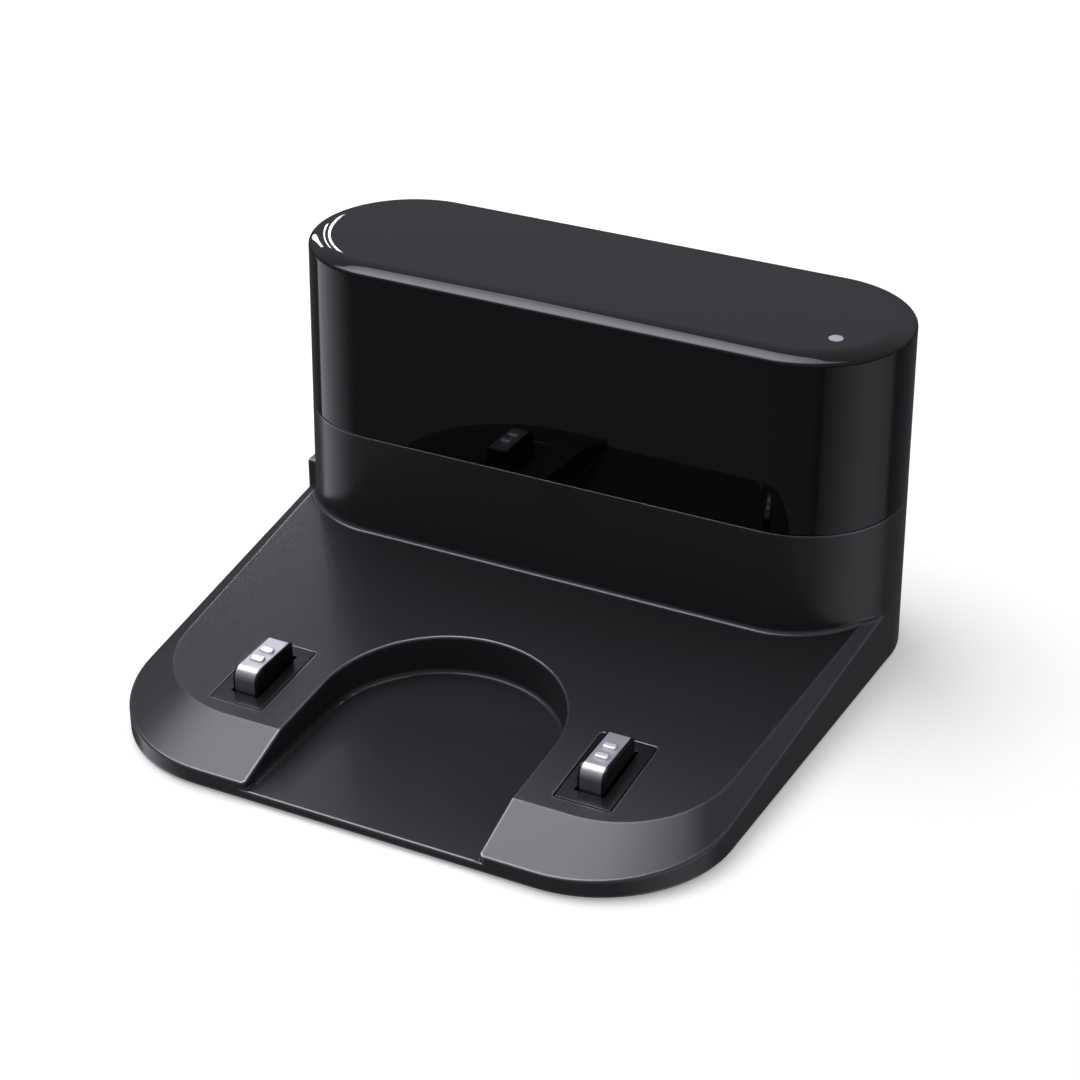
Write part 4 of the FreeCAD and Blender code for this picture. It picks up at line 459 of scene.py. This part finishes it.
dress(
    moulded_plastic("shelf_black", UNDERSIDE_BLACK, 0.0004, 0.00001, (0.45, 0.55)),
    "beacon_shelf", "emitter_shroud",
)
SMOKY_RESIN = (0.16, 0.12, 0.19)
dress(
    moulded_plastic("smoky_resin", SMOKY_RESIN, 0.0008, 0.000001, (0.05, 0.1), transmission_weight=0.6),
    "infrared_emitter_left", "infrared_emitter_middle", "infrared_emitter_right",
)
dress(
    moulded_plastic("led_resin", (0.8, 0.78, 0.7), 0.0004, 0.000002, (0.2, 0.3)), "status_led"
)


# Tower cover. The upper half of the tower, moulded in deep black polycarbonate that infrared
# light passes. Its tool was polished, so it is mirror bright, and it snaps over the lip of the
# housing with a fine seam.

GLOSS_BLACK, POLISH_BEST, POLISH_WORST, COVER_EDGE = (0.0008, 0.0008, 0.001, 1), 0.012, 0.04, 0.0004
gloss_black, gloss_tree, gloss_shader = new_finish("gloss_black", base_color=GLOSS_BLACK, ior=1.5)
smears = put(gloss_tree, "ShaderNodeTexNoise", scale=28.0, detail=4.0, roughness=0.55)
gloss_place = put(gloss_tree, "ShaderNodeTexCoord")
polish = put(gloss_tree, "ShaderNodeMapRange")
polish.inputs["To Min"].default_value = POLISH_BEST
polish.inputs["To Max"].default_value = POLISH_WORST
gloss_tree.links.new(gloss_place.outputs["Object"], smears.inputs["Vector"])
gloss_tree.links.new(smears.outputs["Fac"], polish.inputs["Value"])
gloss_tree.links.new(polish.outputs["Result"], gloss_shader.inputs["Roughness"])
gloss_edge = put(gloss_tree, "ShaderNodeBevel", samples=8, radius=COVER_EDGE)
gloss_tree.links.new(gloss_edge.outputs["Normal"], gloss_shader.inputs["Normal"])
dress(gloss_black, "tower_cover")


# Status light. A rod of frosted acrylic with a collar, pressed up into the cover from inside and
# flush with its top. It looks pale, because the lamp below it is off. A thin ring at its rim is
# coloured near black.

LIGHT_PALE, LIGHT_RIM = (0.405, 0.413, 0.445), (0.004, 0.004, 0.005)
PALE_RADIUS, RIM_SOFTNESS = 0.00158, 0.0001
frosted_acrylic = moulded_plastic(
    "frosted_acrylic", LIGHT_PALE, 0.0003, 0.000002, (0.12, 0.2), spread=0.04
)
acrylic = frosted_acrylic.node_tree
rod_low, rod_high = (Vector(corner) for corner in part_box("status_light_pipe"))
rod_place = put(acrylic, "ShaderNodeTexCoord")
flattened = put(acrylic, "ShaderNodeVectorMath", operation="MULTIPLY")
flattened.inputs[1].default_value = (1, 1, 0)
off_centre = put(acrylic, "ShaderNodeVectorMath", operation="DISTANCE")
off_centre.inputs[1].default_value = ((rod_low.x + rod_high.x) / 2, (rod_low.y + rod_high.y) / 2, 0)
on_rim = put(acrylic, "ShaderNodeMapRange")
on_rim.inputs["From Min"].default_value = PALE_RADIUS
on_rim.inputs["From Max"].default_value = PALE_RADIUS + RIM_SOFTNESS
ringed = put(acrylic, "ShaderNodeMix", data_type="RGBA")
ringed.inputs[7].default_value = (*LIGHT_RIM, 1)
acrylic_colour = acrylic.nodes["Principled BSDF"].inputs["Base Color"]
acrylic.links.new(acrylic_colour.links[0].from_socket, ringed.inputs[6])
acrylic.links.new(rod_place.outputs["Object"], flattened.inputs[0])
acrylic.links.new(flattened.outputs[0], off_centre.inputs[0])
acrylic.links.new(off_centre.outputs["Value"], on_rim.inputs["Value"])
acrylic.links.new(on_rim.outputs["Result"], ringed.inputs["Factor"])
acrylic.links.new(ringed.outputs[2], acrylic_colour)
dress(frosted_acrylic, "status_light_pipe")


# Studio. A pale floor and backdrop that the camera sees as white. What the object itself mirrors
# is a dim room with a pale glow low on each side. A large softbox hangs over it to the left, and
# three narrow lamps stand behind it.

FLOOR_SIZE, FLOOR_LEVEL, FLOOR_COLOUR = 6.0, -0.0001, (0.82, 0.825, 0.74, 1)
GLOW_STARTS, GLOW_FULL, GLOW_LEAST = 0.25, 1.2, 0.3
bpy.ops.object.select_all(action="DESELECT")
bpy.ops.mesh.primitive_plane_add(size=FLOOR_SIZE, location=(0, 0, FLOOR_LEVEL))
floor = bpy.context.object
floor.name = "floor"
floor.visible_glossy = False
floor_finish, floor_tree, floor_shader = new_finish(
    "pale_floor", base_color=FLOOR_COLOUR, roughness=1.0, specular_ior_level=0.0
)
rays = put(floor_tree, "ShaderNodeLightPath")
white = put(floor_tree, "ShaderNodeEmission")
blend = put(floor_tree, "ShaderNodeAddShader")
shown = put(floor_tree, "ShaderNodeMath", operation="MULTIPLY")
# The glow that only the camera sees grows with the distance, so that the floor stays white
floor_place = put(floor_tree, "ShaderNodeTexCoord")
far = put(floor_tree, "ShaderNodeVectorMath", operation="LENGTH")
glow = put(floor_tree, "ShaderNodeMapRange")
glow.inputs["From Min"].default_value = GLOW_STARTS
glow.inputs["From Max"].default_value = GLOW_FULL
glow.inputs["To Min"].default_value = GLOW_LEAST
floor_tree.links.new(floor_place.outputs["Object"], far.inputs[0])
floor_tree.links.new(far.outputs["Value"], glow.inputs["Value"])
floor_tree.links.new(glow.outputs["Result"], shown.inputs[1])
floor_tree.links.new(rays.outputs["Is Camera Ray"], shown.inputs[0])
floor_tree.links.new(shown.outputs[0], white.inputs["Strength"])
floor_tree.links.new(floor_shader.outputs[0], blend.inputs[0])
floor_tree.links.new(white.outputs[0], blend.inputs[1])
floor_tree.links.new(blend.outputs[0], floor_tree.nodes["Material Output"].inputs["Surface"])
floor.data.materials.append(floor_finish)

LAMP_TINT = (0.9, 0.895, 1.0)


def ramp(tree, stops):
    """Brightness along a line from 0 to 1, given as pairs of place and brightness."""
    node = put(tree, "ShaderNodeValToRGB")
    marks = node.color_ramp.elements
    while len(marks) < len(stops):
        marks.new(0.5)
    for mark, (place, bright) in zip(marks, stops):
        mark.position = place
        mark.color = (*(part * bright for part in LAMP_TINT), 1)
    return node


world = bpy.data.worlds.new("studio")
scene.world = world
world.use_nodes = True
room = world.node_tree
looking = put(room, "ShaderNodeTexCoord")
parts = put(room, "ShaderNodeSeparateXYZ")
room.links.new(looking.outputs["Generated"], parts.inputs[0])
# Round the horizon, the ring's brightness goes by compass bearing: half a turn is the front
bearing = put(room, "ShaderNodeMath", operation="ARCTAN2")
room.links.new(parts.outputs["X"], bearing.inputs[0])
room.links.new(parts.outputs["Y"], bearing.inputs[1])
turn = put(room, "ShaderNodeMapRange")
turn.inputs["From Min"].default_value = -math.pi
turn.inputs["From Max"].default_value = math.pi
room.links.new(bearing.outputs[0], turn.inputs["Value"])


def at_bearing(degrees):
    """Where a compass bearing lies along the ring, from 0 to 1."""
    return (degrees + 180) / 360


RING_STRENGTH = 2.0
ring = ramp(
    room,
    [
        (at_bearing(bearing_degrees), bright / RING_STRENGTH)
        for bearing_degrees, bright in (
            (-139, 0.165), (-131, 0.26), (-117, 0.59), (-97, 1.06), (-80, 1.32), (-78, 0.09),
            (51, 0.1), (58, 0.33), (75, 0.58), (95, 0.68), (115, 0.5), (137, 0.22), (141, 0.11),
            (152, 0.165),
        )
    ],
)
room.links.new(turn.outputs["Result"], ring.inputs["Fac"])
height = put(room, "ShaderNodeMapRange")
height.inputs["From Min"].default_value = -1.0
room.links.new(parts.outputs["Z"], height.inputs["Value"])
rise = ramp(room, [(0.45, 0.05), (0.55, 0.09), (0.65, 0.15), (0.73, 0.21), (1.0, 0.18)])
room.links.new(height.outputs["Result"], rise.inputs["Fac"])
above = put(room, "ShaderNodeMapRange", interpolation_type="SMOOTHSTEP")
above.inputs["From Min"].default_value = -0.3
above.inputs["From Max"].default_value = -0.05
room.links.new(parts.outputs["Z"], above.inputs["Value"])
seen = put(room, "ShaderNodeMix", data_type="RGBA")
room.links.new(above.outputs["Result"], seen.inputs["Factor"])
room.links.new(ring.outputs["Color"], seen.inputs[6])
room.links.new(rise.outputs["Color"], seen.inputs[7])
dim = room.nodes["Background"]
dim.inputs["Strength"].default_value = RING_STRENGTH
room.links.new(seen.outputs[2], dim.inputs["Color"])
clear = put(room, "ShaderNodeBackground", strength=1.0)
clear.inputs["Color"].default_value = (1, 1, 1, 1)
either = put(room, "ShaderNodeMixShader")
eyes = put(room, "ShaderNodeLightPath")
room.links.new(eyes.outputs["Is Camera Ray"], either.inputs[0])
room.links.new(dim.outputs[0], either.inputs[1])
room.links.new(clear.outputs[0], either.inputs[2])
room.links.new(either.outputs[0], room.nodes["World Output"].inputs["Surface"])


def softbox(name, size, place, aim, turned, bright_middle, bright_edge, middle=0.2, edge=0.55):
    """A rectangular lamp that faces a point, brighter in its middle than at its edge."""
    lamp = bpy.data.lights.new(name, "AREA")
    lamp.shape = "RECTANGLE"
    lamp.size, lamp.size_y = size
    lamp.energy = math.pi * size[0] * size[1]
    lamp.color = LAMP_TINT
    lamp.use_nodes = True
    tree = lamp.node_tree
    spot = put(tree, "ShaderNodeNewGeometry")
    away = put(tree, "ShaderNodeVectorMath", operation="DISTANCE")
    away.inputs[1].default_value = (0.5, 0.5, 0)
    fade = put(tree, "ShaderNodeMapRange", interpolation_type="SMOOTHSTEP")
    fade.inputs["From Min"].default_value = middle
    fade.inputs["From Max"].default_value = edge
    fade.inputs["To Min"].default_value = bright_middle
    fade.inputs["To Max"].default_value = bright_edge
    tree.links.new(spot.outputs["Parametric"], away.inputs[0])
    tree.links.new(away.outputs["Value"], fade.inputs["Value"])
    tree.links.new(fade.outputs["Result"], tree.nodes["Emission"].inputs["Strength"])
    holder = bpy.data.objects.new(name, lamp)
    scene.collection.objects.link(holder)
    facing = (Vector(aim) - Vector(place)).to_track_quat("-Z", "Y").to_matrix()
    holder.matrix_world = (
        Matrix.Translation(place) @ (facing @ Matrix.Rotation(math.radians(turned), 3, "Z")).to_4x4()
    )
    return holder


OVERHEAD_SIDE, OVERHEAD_PLACE, OVERHEAD_TURNED = 1.13, (-0.44, 0.14, 1.08), -32
BELOW_OVERHEAD = (-0.44, 0.1401, 0)
softbox(
    "overhead", (OVERHEAD_SIDE, OVERHEAD_SIDE), OVERHEAD_PLACE, BELOW_OVERHEAD, OVERHEAD_TURNED, 5.0, 1.9
)
# The narrow lamps give the thin arcs on the cover's left end. Each has a bearing and a width
LEFT_END = Vector((-0.07, 0.03, 0.09))
LEFT_LAMPS = ((-45, 0.05), (-37.8, 0.024), (-34.4, 0.024))
LEFT_LIFT, LEFT_DISTANCE, LEFT_HEIGHT, LEFT_BRIGHT = math.radians(20), 1.2, 0.29, 12.0
for number, (bearing_degrees, width) in enumerate(LEFT_LAMPS, 1):
    turn_left = math.radians(bearing_degrees)
    level = math.cos(LEFT_LIFT)
    away = Vector((math.sin(turn_left) * level, math.cos(turn_left) * level, math.sin(LEFT_LIFT)))
    softbox(
        f"left_{number}", (width, LEFT_HEIGHT), LEFT_END + LEFT_DISTANCE * away, LEFT_END, 0,
        LEFT_BRIGHT, LEFT_BRIGHT,
    )


# Camera. It stands where the photograph was taken from, in front and to the right of the dock, and
# looks down on it. Angles, distance and lens come from fitting the dock's own edges.

AZIMUTH, ELEVATION, ROLL = math.radians(26.483), math.radians(29.747), math.radians(0.049)
DISTANCE, FOCAL_LENGTH, SENSOR_WIDTH = 0.55956, 84.47, 36.0
TARGET = Vector((0.0082, -0.00295, 0.0385))
view = bpy.data.cameras.new("view")
view.sensor_width = SENSOR_WIDTH
view.lens = FOCAL_LENGTH
view.clip_start = 0.01
camera = bpy.data.objects.new("view", view)
scene.collection.objects.link(camera)
ahead = Vector(
    (
        -math.sin(AZIMUTH) * math.cos(ELEVATION),
        math.cos(AZIMUTH) * math.cos(ELEVATION),
        -math.sin(ELEVATION),
    )
)
camera.location = TARGET - ahead * DISTANCE
camera.rotation_mode = "QUATERNION"
camera.rotation_quaternion = (
    ahead.to_track_quat("-Z", "Y").to_matrix() @ Matrix.Rotation(ROLL, 3, "Z")
).to_quaternion()
scene.camera = camera
